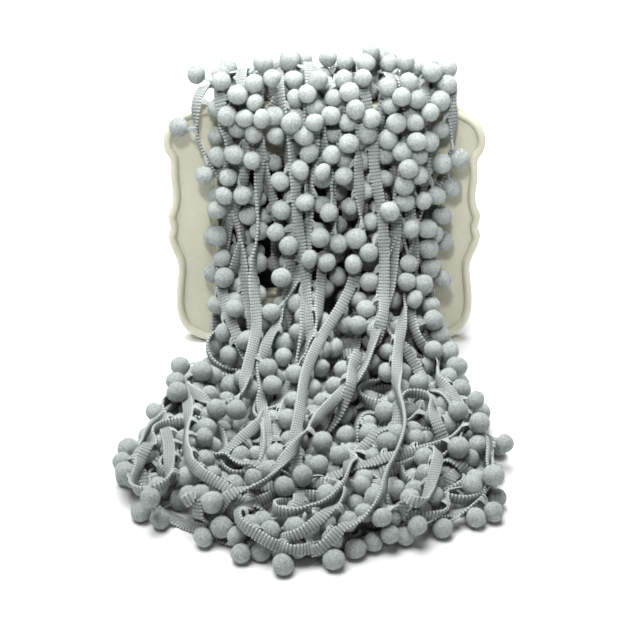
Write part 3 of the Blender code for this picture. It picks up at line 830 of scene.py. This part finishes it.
    def settle(self):
        """Lets the trim come to rest. The balls fall from the start, and the braid once it has spread."""
        groups = (self.plain, self.tied, self.balls)
        before = [points.copy() for points in groups]
        count = len(self.plain)
        for step in range(SETTLE_STEPS):
            resting = step > SETTLE_STEPS - REST_STEPS
            gravity = GRAVITY_STEP * (REST_GRAVITY if resting else 1.0)
            for points, last in zip(groups, before):
                speed = (points - last) * SLOWING
                speed *= np.minimum(1.0, FASTEST_STEP / (lengths(speed) + TINY))[:, None]
                last[:] = points
                points += speed
                if points is self.balls or resting:
                    points[:, 2] -= gravity
            self.pull_to_route(step)
            if step % SEARCH_EVERY == 0:
                contacts = self.find_contacts()
            grown = min(1.0, GROWN_AT_START + (1.0 - GROWN_AT_START) * step / GROW_STEPS)
            for _ in range(SOLVER_ROUNDS):
                touched = self.push_apart(contacts, grown)
                self.keep_clear()
                self.keep_sizes()
            rubbing = touched[:count] | touched[count:2 * count] | touched[2 * count:3 * count]
            for points, last, rubs in zip(groups, before, (rubbing, rubbing, touched[3 * count:])):
                last[rubs] += (points - last)[rubs] * SURFACE_DRAG


# ---- Geometry of the trim, made from the settled stations ----

FLOOR_CLEAR = 0.1
BRAID_PIECES = 2
LOOSE_END = 60.0

# Rings of a rib, one in the groove and two on the ridge: place along the rib, half width, half thickness
RIB_RINGS = [(0.0, 3.15, 0.8), (0.3, 4.15, 1.1), (0.7, 4.15, 1.1)]

# A ring's corners as shares of the half width and the half thickness
RING_SHAPE = [(-1.0, 0.0), (-0.84, 0.95), (0.84, 0.95), (1.0, 0.0), (0.84, -0.95), (-0.84, -0.95)]

# The balls: their lumps, how far they are squashed, and their sizes as shares of POMPOM_RADIUS
BALL_SUBDIVISIONS = 3
BALL_PIECES = 2
BALL_LUMPS = 6
LUMP_SIZE = 0.04
LUMP_WAVES = (2.2, 4.6)
BALL_SQUASH = 0.09
BALL_SIZES = (0.90, 1.06)

# The fibres that stand out of the balls
FUZZ_PIECES = 3
FUZZ_PER_BALL = 425
FUZZ_LENGTH = (0.8, 2.1)
FUZZ_WIDTH = 0.34
FUZZ_SUNK = 0.12
FUZZ_RISE = (math.radians(8.0), math.radians(50.0))
FUZZ_OWN_TINT = 0.75

# The threads of a stem: how far they fan out along the braid, how thick they are at its two ends, how deep
# they reach into the ball and the braid, and how straight they leave the braid
THREADS_PER_STEM = 4
THREAD_FAN = 4.4
THREAD_STRAY = 0.03
THREAD_RADIUS = (0.66, 0.5)
THREAD_RINGS = 4
THREAD_SIDES = 4
THREAD_IN_BALL = 1.2
THREAD_IN_BRAID = 0.6
THREAD_BEND = 2.2
THREAD_SKEW = 0.3


def make_mesh(name, points, faces):
    """A smooth mesh object from points in millimetres, kept off the floor, and faces of equal length."""
    mesh = bpy.data.meshes.new(name)
    sides = faces.shape[1]
    points = np.array(points).reshape(-1, 3)
    points[:, 2] = np.maximum(points[:, 2], FLOOR_CLEAR)
    mesh.vertices.add(len(points))
    mesh.vertices.foreach_set("co", (points * MM).astype(np.float32).ravel())
    mesh.loops.add(faces.size)
    mesh.loops.foreach_set("vertex_index", faces.astype(np.int32).ravel())
    mesh.polygons.add(len(faces))
    mesh.polygons.foreach_set("loop_start", np.arange(0, faces.size, sides, dtype=np.int32))
    mesh.update(calc_edges=True)
    mesh.validate()
    mesh.shade_smooth()
    return add_object(name, mesh)


def add_point_values(made, name, values):
    """Stores a number for each point, which the materials read."""
    made.data.attributes.new(name, "FLOAT", "POINT").data.foreach_set("value", values.astype(np.float32))


def in_pieces(count, pieces):
    """Numbers from 1, each with its part of the first count whole numbers."""
    return enumerate(np.array_split(np.arange(count), pieces), start=1)


def copied_faces(faces, copies, points_each):
    """The faces of a number of like shapes that follow each other."""
    offsets = (np.arange(copies) * points_each)[:, None, None]
    return (faces + offsets).reshape(-1, faces.shape[1])


def ring_faces(rings, sides):
    """Quads between rings of points that follow each other."""
    ring, side = np.meshgrid(np.arange(rings - 1), np.arange(sides), indexing="ij")
    here = ring * sides + side
    beside = ring * sides + (side + 1) % sides
    return np.stack([here, beside, beside + sides, here + sides], axis=-1).reshape(-1, 4)


def braid_rings(trim):
    """The braid's crosswise rings: place in ribs, middle, side and face ways, half width and thickness."""
    ribs = int(TRIM_LENGTH / RIB_PITCH)
    shape = np.array(RIB_RINGS)
    place = np.append((np.arange(ribs)[:, None] + shape[:, 0]).ravel(), ribs)
    halves = np.vstack([np.tile(shape[:, 1:], (ribs, 1)), shape[0, 1:]])
    at = place * ((len(trim.plain) - 1) / ribs)
    plain = catmull_rom(trim.plain, at)
    tied = catmull_rom(trim.tied, at)
    middle = (plain + tied) / 2
    along = unit(np.gradient(middle, axis=0))
    side = unit(tied - plain)
    side = unit(side - along * np.einsum("ij,ij->i", side, along)[:, None])
    return place, middle, side, np.cross(along, side), halves


def make_braid(trim):
    """The braid in a few long pieces and its loose end, each with its middle line."""
    place, middle, side, face, halves = braid_rings(trim)
    shape = np.array(RING_SHAPE)
    sides = len(shape)
    points = middle[:, None] + side[:, None] * (shape[:, 0] * halves[:, 0:1])[..., None]
    points += face[:, None] * (shape[:, 1] * halves[:, 1:2])[..., None]
    end_start = len(middle) - 1 - int(LOOSE_END / RIB_PITCH) * len(RIB_RINGS)
    cuts = np.linspace(0, end_start, BRAID_PIECES + 1).astype(int) // len(RIB_RINGS) * len(RIB_RINGS)
    cuts = np.append(cuts, len(middle) - 1)
    caps = np.array([[0, 1, 2, 3], [0, 3, 4, 5]])
    pieces = []
    for number, (first, last) in enumerate(zip(cuts[:-1], cuts[1:]), start=1):
        rings = np.arange(first, last + 1)
        faces = ring_faces(len(rings), sides)
        faces = np.concatenate([faces, caps[:, ::-1], (len(rings) - 1) * sides + caps])
        name = f"braid_{number}" if number <= BRAID_PIECES else "braid_loose_end"
        made = make_mesh(name, points[rings], faces)
        add_point_values(made, "across", np.tile(shape[:, 0], len(rings)))
        add_point_values(made, "ribs", np.repeat(place[rings], sides))
        pieces.append((made, middle[rings]))
    return pieces


def unit_ball():
    """Points and faces of a round ball of radius 1."""
    ball = bmesh.new()
    bmesh.ops.create_icosphere(ball, subdivisions=BALL_SUBDIVISIONS, radius=1.0)
    ball.verts.ensure_lookup_table()
    points = np.array([vertex.co for vertex in ball.verts])
    faces = np.array([[vertex.index for vertex in face.verts] for face in ball.faces])
    ball.free()
    return points, faces


class Balls:
    """The balls' own shapes: each a little lumpy, squashed and turned its own way."""

    def __init__(self, centres, rng):
        count = len(centres)
        self.centres = centres
        self.lump_ways = unit(rng.normal(size=(count * BALL_LUMPS, 3))).reshape(count, BALL_LUMPS, 3)
        self.lump_waves = rng.uniform(*LUMP_WAVES, (count, BALL_LUMPS))
        self.lump_starts = rng.uniform(0.0, 2 * math.pi, (count, BALL_LUMPS))
        self.squash_ways = unit(rng.normal(size=(count, 3)))
        self.squash = rng.uniform(0.0, 2 * BALL_SQUASH, count)
        self.sizes = rng.uniform(*BALL_SIZES, count)
        self.tint = rng.uniform(0.0, 1.0, count)

    def surface(self, ways):
        """Points of each ball's surface in the given ways, one row of unit ways for each ball."""
        wave = np.einsum("bwk,blk->bwl", ways, self.lump_ways) * self.lump_waves[:, None]
        wave += self.lump_starts[:, None]
        radius = POMPOM_RADIUS * (1.0 + LUMP_SIZE * np.sin(wave).sum(axis=2) / math.sqrt(BALL_LUMPS))
        radius *= self.sizes[:, None]
        along = np.einsum("bwk,bk->bw", ways, self.squash_ways)
        radius *= 1.0 - self.squash[:, None] * along**2
        return self.centres[:, None] + ways * radius[..., None]


def make_balls(balls):
    """The balls' felt bodies, in a few pieces."""
    ways, faces = unit_ball()
    count = len(balls.centres)
    points = balls.surface(np.broadcast_to(ways, (count,) + ways.shape))
    pieces = []
    for number, chosen in in_pieces(count, BALL_PIECES):
        made = make_mesh(f"pompoms_{number}", points[chosen], copied_faces(faces, len(chosen), len(ways)))
        add_point_values(made, "tint", np.repeat(balls.tint[chosen], len(ways)))
        pieces.append(made)
    return pieces


def make_fuzz(balls, rng):
    """Short fibres that stand out of the felt, each one thin triangle."""
    count = len(balls.centres)
    shape = (count, FUZZ_PER_BALL, 3)
    fibres = (count * FUZZ_PER_BALL, 3)
    ways = unit(rng.normal(size=fibres)).reshape(shape)
    roots = balls.surface(ways) - ways * FUZZ_SUNK
    beside = unit(np.cross(ways.reshape(fibres), rng.normal(size=fibres))).reshape(shape)
    flat = np.cross(ways, beside)
    angle = rng.uniform(*FUZZ_RISE, (count, FUZZ_PER_BALL, 1))
    rise = ways * np.sin(angle) + beside * np.cos(angle)
    reach = rng.uniform(*FUZZ_LENGTH, (count, FUZZ_PER_BALL, 1))
    half = flat * FUZZ_WIDTH / 2
    points = np.stack([roots + half, roots - half, roots + rise * reach], axis=2)
    own_tint = rng.uniform(0.0, 1.0, (count, FUZZ_PER_BALL))
    tint = own_tint * FUZZ_OWN_TINT + balls.tint[:, None] * (1.0 - FUZZ_OWN_TINT)
    pieces = []
    for number, chosen in in_pieces(count, FUZZ_PIECES):
        corners = points[chosen].reshape(-1, 3)
        made = make_mesh(f"pompom_fuzz_{number}", corners, np.arange(len(corners)).reshape(-1, 3))
        normals = np.repeat(ways[chosen].reshape(-1, 3), 3, axis=0).astype(np.float32)
        stored = made.data.attributes.new("custom_normal", "FLOAT_VECTOR", "POINT")
        stored.data.foreach_set("vector", normals.ravel())
        add_point_values(made, "tint", np.repeat(tint[chosen].ravel(), 3))
        pieces.append(made)
    return pieces


def make_stems(trim, rng):
    """The warp threads that leave the braid's edge side by side and gather at each ball."""
    fan = np.linspace(-0.5, 0.5, THREADS_PER_STEM) * THREAD_FAN / STATION
    at = np.repeat(trim.knots, THREADS_PER_STEM) + np.tile(fan, len(trim.knots))
    at += rng.normal(0.0, THREAD_STRAY, len(at))
    stations = np.arange(len(trim.tied))
    root = rows_at(at, stations, trim.tied)
    side = unit(root - rows_at(at, stations, trim.plain))
    centre = np.repeat(trim.balls, THREADS_PER_STEM, axis=0)
    to_ball = unit(centre - root)
    goal = centre - to_ball * (POMPOM_RADIUS - THREAD_IN_BALL)
    start = root - side * THREAD_IN_BRAID
    bend = root + side * THREAD_BEND
    part = np.linspace(0.0, 1.0, THREAD_RINGS)[None, :, None]
    line = start[:, None] * (1 - part) ** 2 + 2 * bend[:, None] * part * (1 - part)
    line += goal[:, None] * part**2
    run = np.gradient(line, axis=1)
    run /= np.linalg.norm(run, axis=2, keepdims=True) + TINY
    right = np.cross(run, side[:, None] + THREAD_SKEW)
    right /= np.linalg.norm(right, axis=2, keepdims=True) + TINY
    up = np.cross(right, run)
    angle = (np.arange(THREAD_SIDES) * 2 * math.pi / THREAD_SIDES)[:, None]
    radius = np.linspace(*THREAD_RADIUS, THREAD_RINGS)[None, :, None, None]
    circle = right[:, :, None] * np.cos(angle) + up[:, :, None] * np.sin(angle)
    points = line[:, :, None] + circle * radius
    faces = ring_faces(THREAD_RINGS, THREAD_SIDES)
    return make_mesh("stems", points, copied_faces(faces, len(line), THREAD_RINGS * THREAD_SIDES))


# ---- Materials ----

# The felt's tones, mottled, the dark one also the painted shade in the hollows between tufts
FELT_LIGHT = (0.60, 0.647, 0.632)
FELT_DARK = (0.31, 0.34, 0.33)
# The fibres' tones: the felt's wool, painted lighter as a painted highlight
FIBRE_LIGHT = (0.69, 0.738, 0.724)
FIBRE_DARK = (0.44, 0.478, 0.466)
# The braid's tones: its grey, and a nearly black one for the painted shade where its ribs and warp threads
# dip
BRAID_LIGHT = (0.54, 0.578, 0.568)
BRAID_DARK = (0.085, 0.094, 0.094)
THREAD_LIGHT = (0.62, 0.66, 0.65)
THREAD_DARK = (0.33, 0.36, 0.355)
PLASTER_LIGHT = (0.74, 0.735, 0.61)
PLASTER_DARK = (0.50, 0.43, 0.27)
# Near-black tones of the frame's backing panel and its strut
BACKING_LIGHT = (0.035, 0.037, 0.039)
BACKING_DARK = (0.018, 0.019, 0.020)
METAL_LIGHT = (0.18, 0.17, 0.16)
METAL_DARK = (0.10, 0.095, 0.09)

# The brown line at the foot of the mouldings, in millimetres: how far it lies in front of the frame's
# middle, and its half width
FOOT_PROUD = 5.1
FOOT_BAND = 0.55

# Scales of the noises, for each metre, and depths of the bumps in metres
TUFT_SCALE = 750.0
FIBRE_SCALE = 2600.0
TWIST_SCALE = 1600.0
SOILING_SCALE = 35.0
THREAD_TONE_SCALE = 900.0
THREAD_BUMP_SCALE = 2400.0
PLASTER_TONE_SCALE = 90.0
PLASTER_BUMP_SCALE = 500.0
BACKING_SCALE = 400.0
METAL_SCALE = 300.0
FELT_BUMP = 0.0008
BRAID_BUMP = 0.0003
THREAD_BUMP = 0.0002
PLASTER_BUMP = 0.0004
BACKING_BUMP = 0.0003
METAL_BUMP = 0.0001

# How much finer the bumps of a plain material are than its tones
FINER = 4

# Mixes of the tones, each the share of one thing and what is added to it
TUFT_CONTRAST = 2.6
FELT_TINT, FELT_SHIFT = 0.3, -0.95
FIBRE_TINT, FIBRE_SHIFT = 0.5, -1.05
FIBRE_SHARE = 0.4
# How strongly the warp columns and ribs show, in the bumps and in the painted shade of the dips
COLUMN_SHARE = 0.5
RIDGE_SHARE = 0.55
WEAVE_SHARE = 0.75
# The painted highlight on each rib's loop at the braid's edges
LOOP_HIGHLIGHT_SHARE, LOOP_HIGHLIGHT_SHIFT = 1.5, -0.75
SOILING_SHARE, SOILING_SHIFT = 0.3, -0.58
FOOT_SHARE = -0.8
PLASTER_SHARE, PLASTER_SHIFT = 0.3, 0.78

# The weave: columns of warp threads, and how sharply columns, ribs and edges show, in the bumps and in the
# painted shade and painted highlight
WARP_COLUMNS = 5
COLUMN_POWER = 0.6
RIDGE_POWER = 0.75
EDGE_POWER = 4.0


class Shader:
    """A Principled material and short ways to add nodes to it."""

    def __init__(self, name, roughness, **constants):
        self.material = bpy.data.materials.new(name)
        self.material.use_nodes = True
        self.nodes = self.material.node_tree.nodes
        self.links = self.material.node_tree.links
        self.principled = self.nodes["Principled BSDF"]
        self.principled.inputs["Roughness"].default_value = roughness
        for key, value in constants.items():
            self.principled.inputs[key.replace("_", " ")].default_value = value

    def node(self, kind, inputs=(), **settings):
        """A new node, with sockets or plain values for its inputs."""
        made = self.nodes.new(kind)
        for key, value in settings.items():
            setattr(made, key, value)
        for key, value in dict(inputs).items():
            if isinstance(value, bpy.types.NodeSocket):
                self.links.new(value, made.inputs[key])
            else:
                made.inputs[key].default_value = value
        return made

    def noise(self, scale, detail=3.0, roughness=0.6):
        """Noise that is fixed to the object."""
        place = self.node("ShaderNodeTexCoord").outputs["Object"]
        inputs = {"Vector": place, "Scale": scale, "Detail": detail, "Roughness": roughness}
        return self.node("ShaderNodeTexNoise", inputs).outputs["Fac"]

    def attribute(self, name):
        return self.node("ShaderNodeAttribute", attribute_name=name).outputs["Fac"]

    def math(self, operation, first, second=0.0, third=0.0):
        inputs = {0: first, 1: second, 2: third}
        return self.node("ShaderNodeMath", inputs, operation=operation).outputs["Value"]

    def scaled(self, value, by, plus):
        """The value times one thing, plus another."""
        return self.math("MULTIPLY_ADD", value, by, plus)

    def power(self, value, exponent):
        """The value's size, without its sign, to the given power."""
        return self.math("POWER", self.math("ABSOLUTE", value), exponent)

    def blend(self, amount, dark, light):
        """A colour from the dark one at 0 to the light one at 1."""
        ramp = self.node("ShaderNodeValToRGB", {"Fac": amount})
        ramp.color_ramp.elements[0].color = (*dark, 1.0)
        ramp.color_ramp.elements[1].color = (*light, 1.0)
        return ramp.outputs["Color"]

    def colour(self, socket):
        self.links.new(socket, self.principled.inputs["Base Color"])

    def bump(self, height, distance, strength=1.0):
        made = self.node("ShaderNodeBump", {"Height": height, "Distance": distance, "Strength": strength})
        self.links.new(made.outputs["Normal"], self.principled.inputs["Normal"])


def wool_tone(shader, tufts, tint, shift):
    """Light and dark of the tufts, with painted shade in the hollows between them, and a tint for each
    ball.
    """
    return shader.scaled(shader.attribute("tint"), tint, shader.scaled(tufts, TUFT_CONTRAST, shift))


def felt_material():
    """Matt wool felt: light tufts, painted shade in the hollows between them, and each ball a little unlike
    the next.
    """
    shader = Shader("felt", 0.95, Sheen_Weight=0.35, Sheen_Roughness=0.5, Specular_IOR_Level=0.15)
    tufts = shader.noise(TUFT_SCALE, 4.0, 0.7)
    fibres = shader.noise(FIBRE_SCALE, 3.0, 0.7)
    # painted shade: the tufts' noise, which also lowers the bumps, darkens the felt in its hollows
    tone = wool_tone(shader, tufts, FELT_TINT, FELT_SHIFT)
    shader.colour(shader.blend(tone, FELT_DARK, FELT_LIGHT))
    shader.bump(shader.scaled(fibres, FIBRE_SHARE, tufts), FELT_BUMP)
    return shader.material


def fuzz_material():
    """The same wool as the felt, painted lighter as a painted highlight on the single fibres, and like the
    felt painted darker over its hollows.
    """
    shader = Shader("felt_fibres", 0.9, Sheen_Weight=0.3, Specular_IOR_Level=0.1)
    tufts = shader.noise(TUFT_SCALE, 4.0, 0.7)
    tone = wool_tone(shader, tufts, FIBRE_TINT, FIBRE_SHIFT)
    # painted highlight: the fibres' tones are lighter than the felt's
    shader.colour(shader.blend(tone, FIBRE_DARK, FIBRE_LIGHT))
    return shader.material


def braid_material():
    """Crosswise ribs over warp threads, with painted shade where both dip and a painted highlight on each
    rib's loop at both edges.
    """
    shader = Shader("woven_braid", 0.75, Sheen_Weight=0.2, Specular_IOR_Level=0.3)
    ribs = shader.attribute("ribs")
    across = shader.attribute("across")
    half_wave = shader.math("SINE", shader.math("MULTIPLY", ribs, math.pi))
    ridge = shader.power(half_wave, RIDGE_POWER)
    column_wave = shader.math("COSINE", shader.math("MULTIPLY", across, WARP_COLUMNS / 2 * math.pi))
    column = shader.power(column_wave, COLUMN_POWER)
    twist = shader.noise(TWIST_SCALE, 3.0, 0.65)
    weave = shader.scaled(column, COLUMN_SHARE, shader.scaled(ridge, RIDGE_SHARE, twist))
    # painted highlight: each rib's loop at the braid's edges is coloured lighter
    edge = shader.power(across, EDGE_POWER)
    loop_highlight = shader.math("MULTIPLY", edge, shader.scaled(ridge, LOOP_HIGHLIGHT_SHARE, LOOP_HIGHLIGHT_SHIFT))
    soiling = shader.scaled(shader.noise(SOILING_SCALE), SOILING_SHARE, SOILING_SHIFT)
    # painted shade: the tone is darker where the ribs and warp columns dip
    tone = shader.scaled(weave, WEAVE_SHARE, soiling)
    shader.colour(shader.blend(shader.math("ADD", loop_highlight, tone), BRAID_DARK, BRAID_LIGHT))
    shader.bump(weave, BRAID_BUMP)
    return shader.material


def thread_material():
    shader = Shader("stem_threads", 0.75, Sheen_Weight=0.2, Specular_IOR_Level=0.3)
    shader.colour(shader.blend(shader.noise(THREAD_TONE_SCALE), THREAD_DARK, THREAD_LIGHT))
    shader.bump(shader.noise(THREAD_BUMP_SCALE), THREAD_BUMP)
    return shader.material


def plaster_material():
    """Cream plaster, with a brown band along the foot of the mouldings that rise from its face."""
    shader = Shader("cream_plaster", 0.42, Specular_IOR_Level=0.45, Coat_Weight=0.08)
    place = shader.node("ShaderNodeTexCoord").outputs["Object"]
    out_of_face = (0.0, -math.cos(LEAN), math.sin(LEAN))
    proud = shader.node("ShaderNodeVectorMath", {0: place, 1: out_of_face}, operation="DOT_PRODUCT")
    from_foot = shader.math("ABSOLUTE", shader.math("SUBTRACT", proud.outputs["Value"], FOOT_PROUD * MM))
    at_foot = shader.math("MAXIMUM", shader.scaled(from_foot, -1.0 / (FOOT_BAND * MM), 1.0), 0.0)
    uneven = shader.scaled(shader.noise(PLASTER_TONE_SCALE), PLASTER_SHARE, PLASTER_SHIFT)
    tone = shader.scaled(at_foot, FOOT_SHARE, uneven)
    shader.colour(shader.blend(tone, PLASTER_DARK, PLASTER_LIGHT))
    shader.bump(shader.noise(PLASTER_BUMP_SCALE), PLASTER_BUMP)
    return shader.material


def plain_material(name, roughness, dark, light, scale, depth, **constants):
    """A material of two tones, with fine bumps of the given depth."""
    shader = Shader(name, roughness, **constants)
    shader.colour(shader.blend(shader.noise(scale), dark, light))
    shader.bump(shader.noise(scale * FINER), depth)
    return shader.material


# ---- The studio, in metres ----

ORIGIN = (0.0, 0.0, 0.0)
DOWN = (0.0, 0.0, -1.0)
FLOOR_SIZE = 14.0
FLOOR_COLOUR = (0.93, 0.94, 0.94)
WORLD_COLOUR = (0.975, 1.0, 0.99)
WORLD_STRENGTH = 0.12
SUN_WAY = (0.16, 0.0, -1.0)
SUN_STRENGTH = 2.75
SUN_ANGLE = math.radians(42.0)
CREST_SPOT_PLACE = (-0.1, -1.05, 1.4)
CREST_SPOT_TARGET = (0.0, 0.0, 0.205)
CREST_SPOT_ANGLE = math.radians(12.0)
CREST_SPOT_RADIUS = 0.15
CREST_SPOT_WATTS = 104.0
TOP_LIGHT_PLACE = (0.0, 0.16, 0.60)
TOP_LIGHT_SIZE = 0.40
TOP_LIGHT_WATTS = 2.4


def make_floor():
    """The white surface that everything stands on."""
    bpy.ops.mesh.primitive_plane_add(size=FLOOR_SIZE, location=ORIGIN)
    floor = bpy.context.object
    floor.name = "studio_floor"
    shader = Shader("studio_floor", 0.8, Specular_IOR_Level=0.1)
    shader.principled.inputs["Base Color"].default_value = (*FLOOR_COLOUR, 1.0)
    floor.data.materials.append(shader.material)


def add_light(name, kind, strength, place, way, **settings):
    """A light that shines in the given way."""
    data = bpy.data.lights.new(name, kind)
    data.energy = strength
    for key, value in settings.items():
        setattr(data, key, value)
    light = add_object(name, data)
    light.location = place
    light.rotation_euler = mathutils.Vector(way).to_track_quat("-Z", "Y").to_euler()


def make_lights():
    """An even sky, a wide soft light from above, a spot on the crest and a small light over it."""
    world = bpy.data.worlds.new("studio")
    world.use_nodes = True
    background = world.node_tree.nodes["Background"]
    background.inputs["Color"].default_value = (*WORLD_COLOUR, 1.0)
    background.inputs["Strength"].default_value = WORLD_STRENGTH
    bpy.context.scene.world = world
    add_light("softbox", "SUN", SUN_STRENGTH, ORIGIN, SUN_WAY, angle=SUN_ANGLE)
    to_crest = np.subtract(CREST_SPOT_TARGET, CREST_SPOT_PLACE)
    add_light("crest_spot", "SPOT", CREST_SPOT_WATTS, CREST_SPOT_PLACE, to_crest,
              spot_size=CREST_SPOT_ANGLE, spot_blend=1.0, shadow_soft_size=CREST_SPOT_RADIUS)
    add_light("top_softbox", "AREA", TOP_LIGHT_WATTS, TOP_LIGHT_PLACE, DOWN, size=TOP_LIGHT_SIZE)
    bpy.context.scene.view_settings.view_transform = "Standard"
    bpy.context.scene.view_settings.look = "Medium High Contrast"


# ---- Making everything ----


def set_material(made, material):
    """Gives a piece or a kept node its one material."""
    made.data.materials.clear()
    made.data.materials.append(material)


def finish_piece(made, material, replaced=()):
    """Gives a piece its material and body, and hides the nodes that it stands for."""
    set_material(made, material)
    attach(made, "root")
    if replaced:
        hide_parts(*replaced)


def nodes_starting(beginning):
    return sorted(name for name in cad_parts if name.startswith(beginning))


def frame_outline():
    """The frame's outline as (x, height along its face), read from the back corners of its solid."""
    points = np.array([vertex.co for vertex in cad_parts["frame_surround"].data.vertices]) / MM
    across, height = across_frame(points[:, 1], points[:, 2])
    corners = np.column_stack([points[:, 0], height])[across > FRAME_BACK - BACK_CORNERS]
    corners = np.unique(np.round(corners, 2), axis=0)
    from_middle = corners - (0.0, OPENING_MIDDLE)
    outer = np.abs(from_middle / OPENING_CLEAR).max(axis=1) > 1.0
    bearing = np.arctan2(from_middle[:, 1], from_middle[:, 0])
    return corners[outer][np.argsort(bearing[outer])]


def smooth_loop(points, count, rounds):
    """The loop's points at equal steps, eased so that its corners turn round."""
    closed = np.vstack([points, points[:1]])
    distance = distances_along(closed)
    loop = rows_at(np.linspace(0.0, distance[-1], count, endpoint=False), distance, closed)
    for _ in range(rounds):
        loop = (np.roll(loop, 1, axis=0) + 2 * loop + np.roll(loop, -1, axis=0)) / 4
    return loop


def inward_of(loop):
    """Ways into a loop that runs anticlockwise, square to it."""
    run = unit(np.roll(loop, -1, axis=0) - np.roll(loop, 1, axis=0))
    return np.column_stack([-run[:, 1], run[:, 0]])


def make_frame_bead():
    """The half-round moulding that runs along the edge of the frame's face."""
    loop = smooth_loop(frame_outline(), BEAD_STEPS, BEAD_SMOOTHINGS)
    loop = smooth_loop(loop + inward_of(loop) * BEAD_INSET, BEAD_STEPS, BEAD_SMOOTHINGS)
    angle = np.linspace(0.0, math.pi, BEAD_SIDES)
    aside = np.r_[np.cos(angle) * BEAD_HALF_WIDTH, -BEAD_HALF_WIDTH, BEAD_HALF_WIDTH]
    sunk = FRAME_FIELD + BEAD_SUNK
    front = np.r_[FRAME_FIELD - np.sin(angle) * BEAD_HEIGHT, sunk, sunk]
    flat = loop[:, None] + inward_of(loop)[:, None] * aside[None, :, None]
    points = np.stack([flat[..., 0], *upright(front, flat[..., 1])], axis=-1)
    sides = len(aside)
    faces = ring_faces(BEAD_STEPS, sides)
    last = (BEAD_STEPS - 1) * sides + np.arange(sides)
    beside = np.roll(np.arange(sides), -1)
    join = np.stack([last, (BEAD_STEPS - 1) * sides + beside, beside, np.arange(sides)], axis=1)
    return make_mesh("frame_bead", points, np.concatenate([faces, join]))


def dress_frame():
    """Gives the frame's own nodes their materials, and adds the bead."""
    plaster = plaster_material()
    set_material(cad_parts["frame_surround"], plaster)
    finish_piece(make_frame_bead(), plaster)
    # The backing panel and the strut share one near-black material
    near_black = plain_material("velvet_backing", 0.95, BACKING_DARK, BACKING_LIGHT, BACKING_SCALE, BACKING_BUMP,
                            Sheen_Weight=0.1)
    set_material(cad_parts["frame_backing"], near_black)
    set_material(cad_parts["easel_strut"], near_black)
    metal = plain_material("hinge_metal", 0.4, METAL_DARK, METAL_LIGHT, METAL_SCALE, METAL_BUMP,
                           Metallic=1.0)
    set_material(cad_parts["easel_hinge"], metal)


def make_trim():
    """Lays out and settles the trim, and makes its braid, balls, fibres and stems."""
    rng = np.random.default_rng(SEED)
    trim = Trim(rng)
    trim.settle()
    balls = Balls(trim.balls, rng)
    braid = make_braid(trim)
    woven = braid_material()
    for made, _ in braid[:-1]:
        finish_piece(made, woven, ["trim_heap"] + nodes_starting("braid_run"))
    loose_end, line = braid[-1]
    finish_piece(loose_end, woven)
    felt = felt_material()
    for made in make_balls(balls):
        finish_piece(made, felt, nodes_starting("pompom"))
    fibres = fuzz_material()
    for made in make_fuzz(balls, rng):
        finish_piece(made, fibres)
    finish_piece(make_stems(trim, rng), thread_material())


make_camera()
make_trim()
make_floor()
make_lights()
dress_frame()
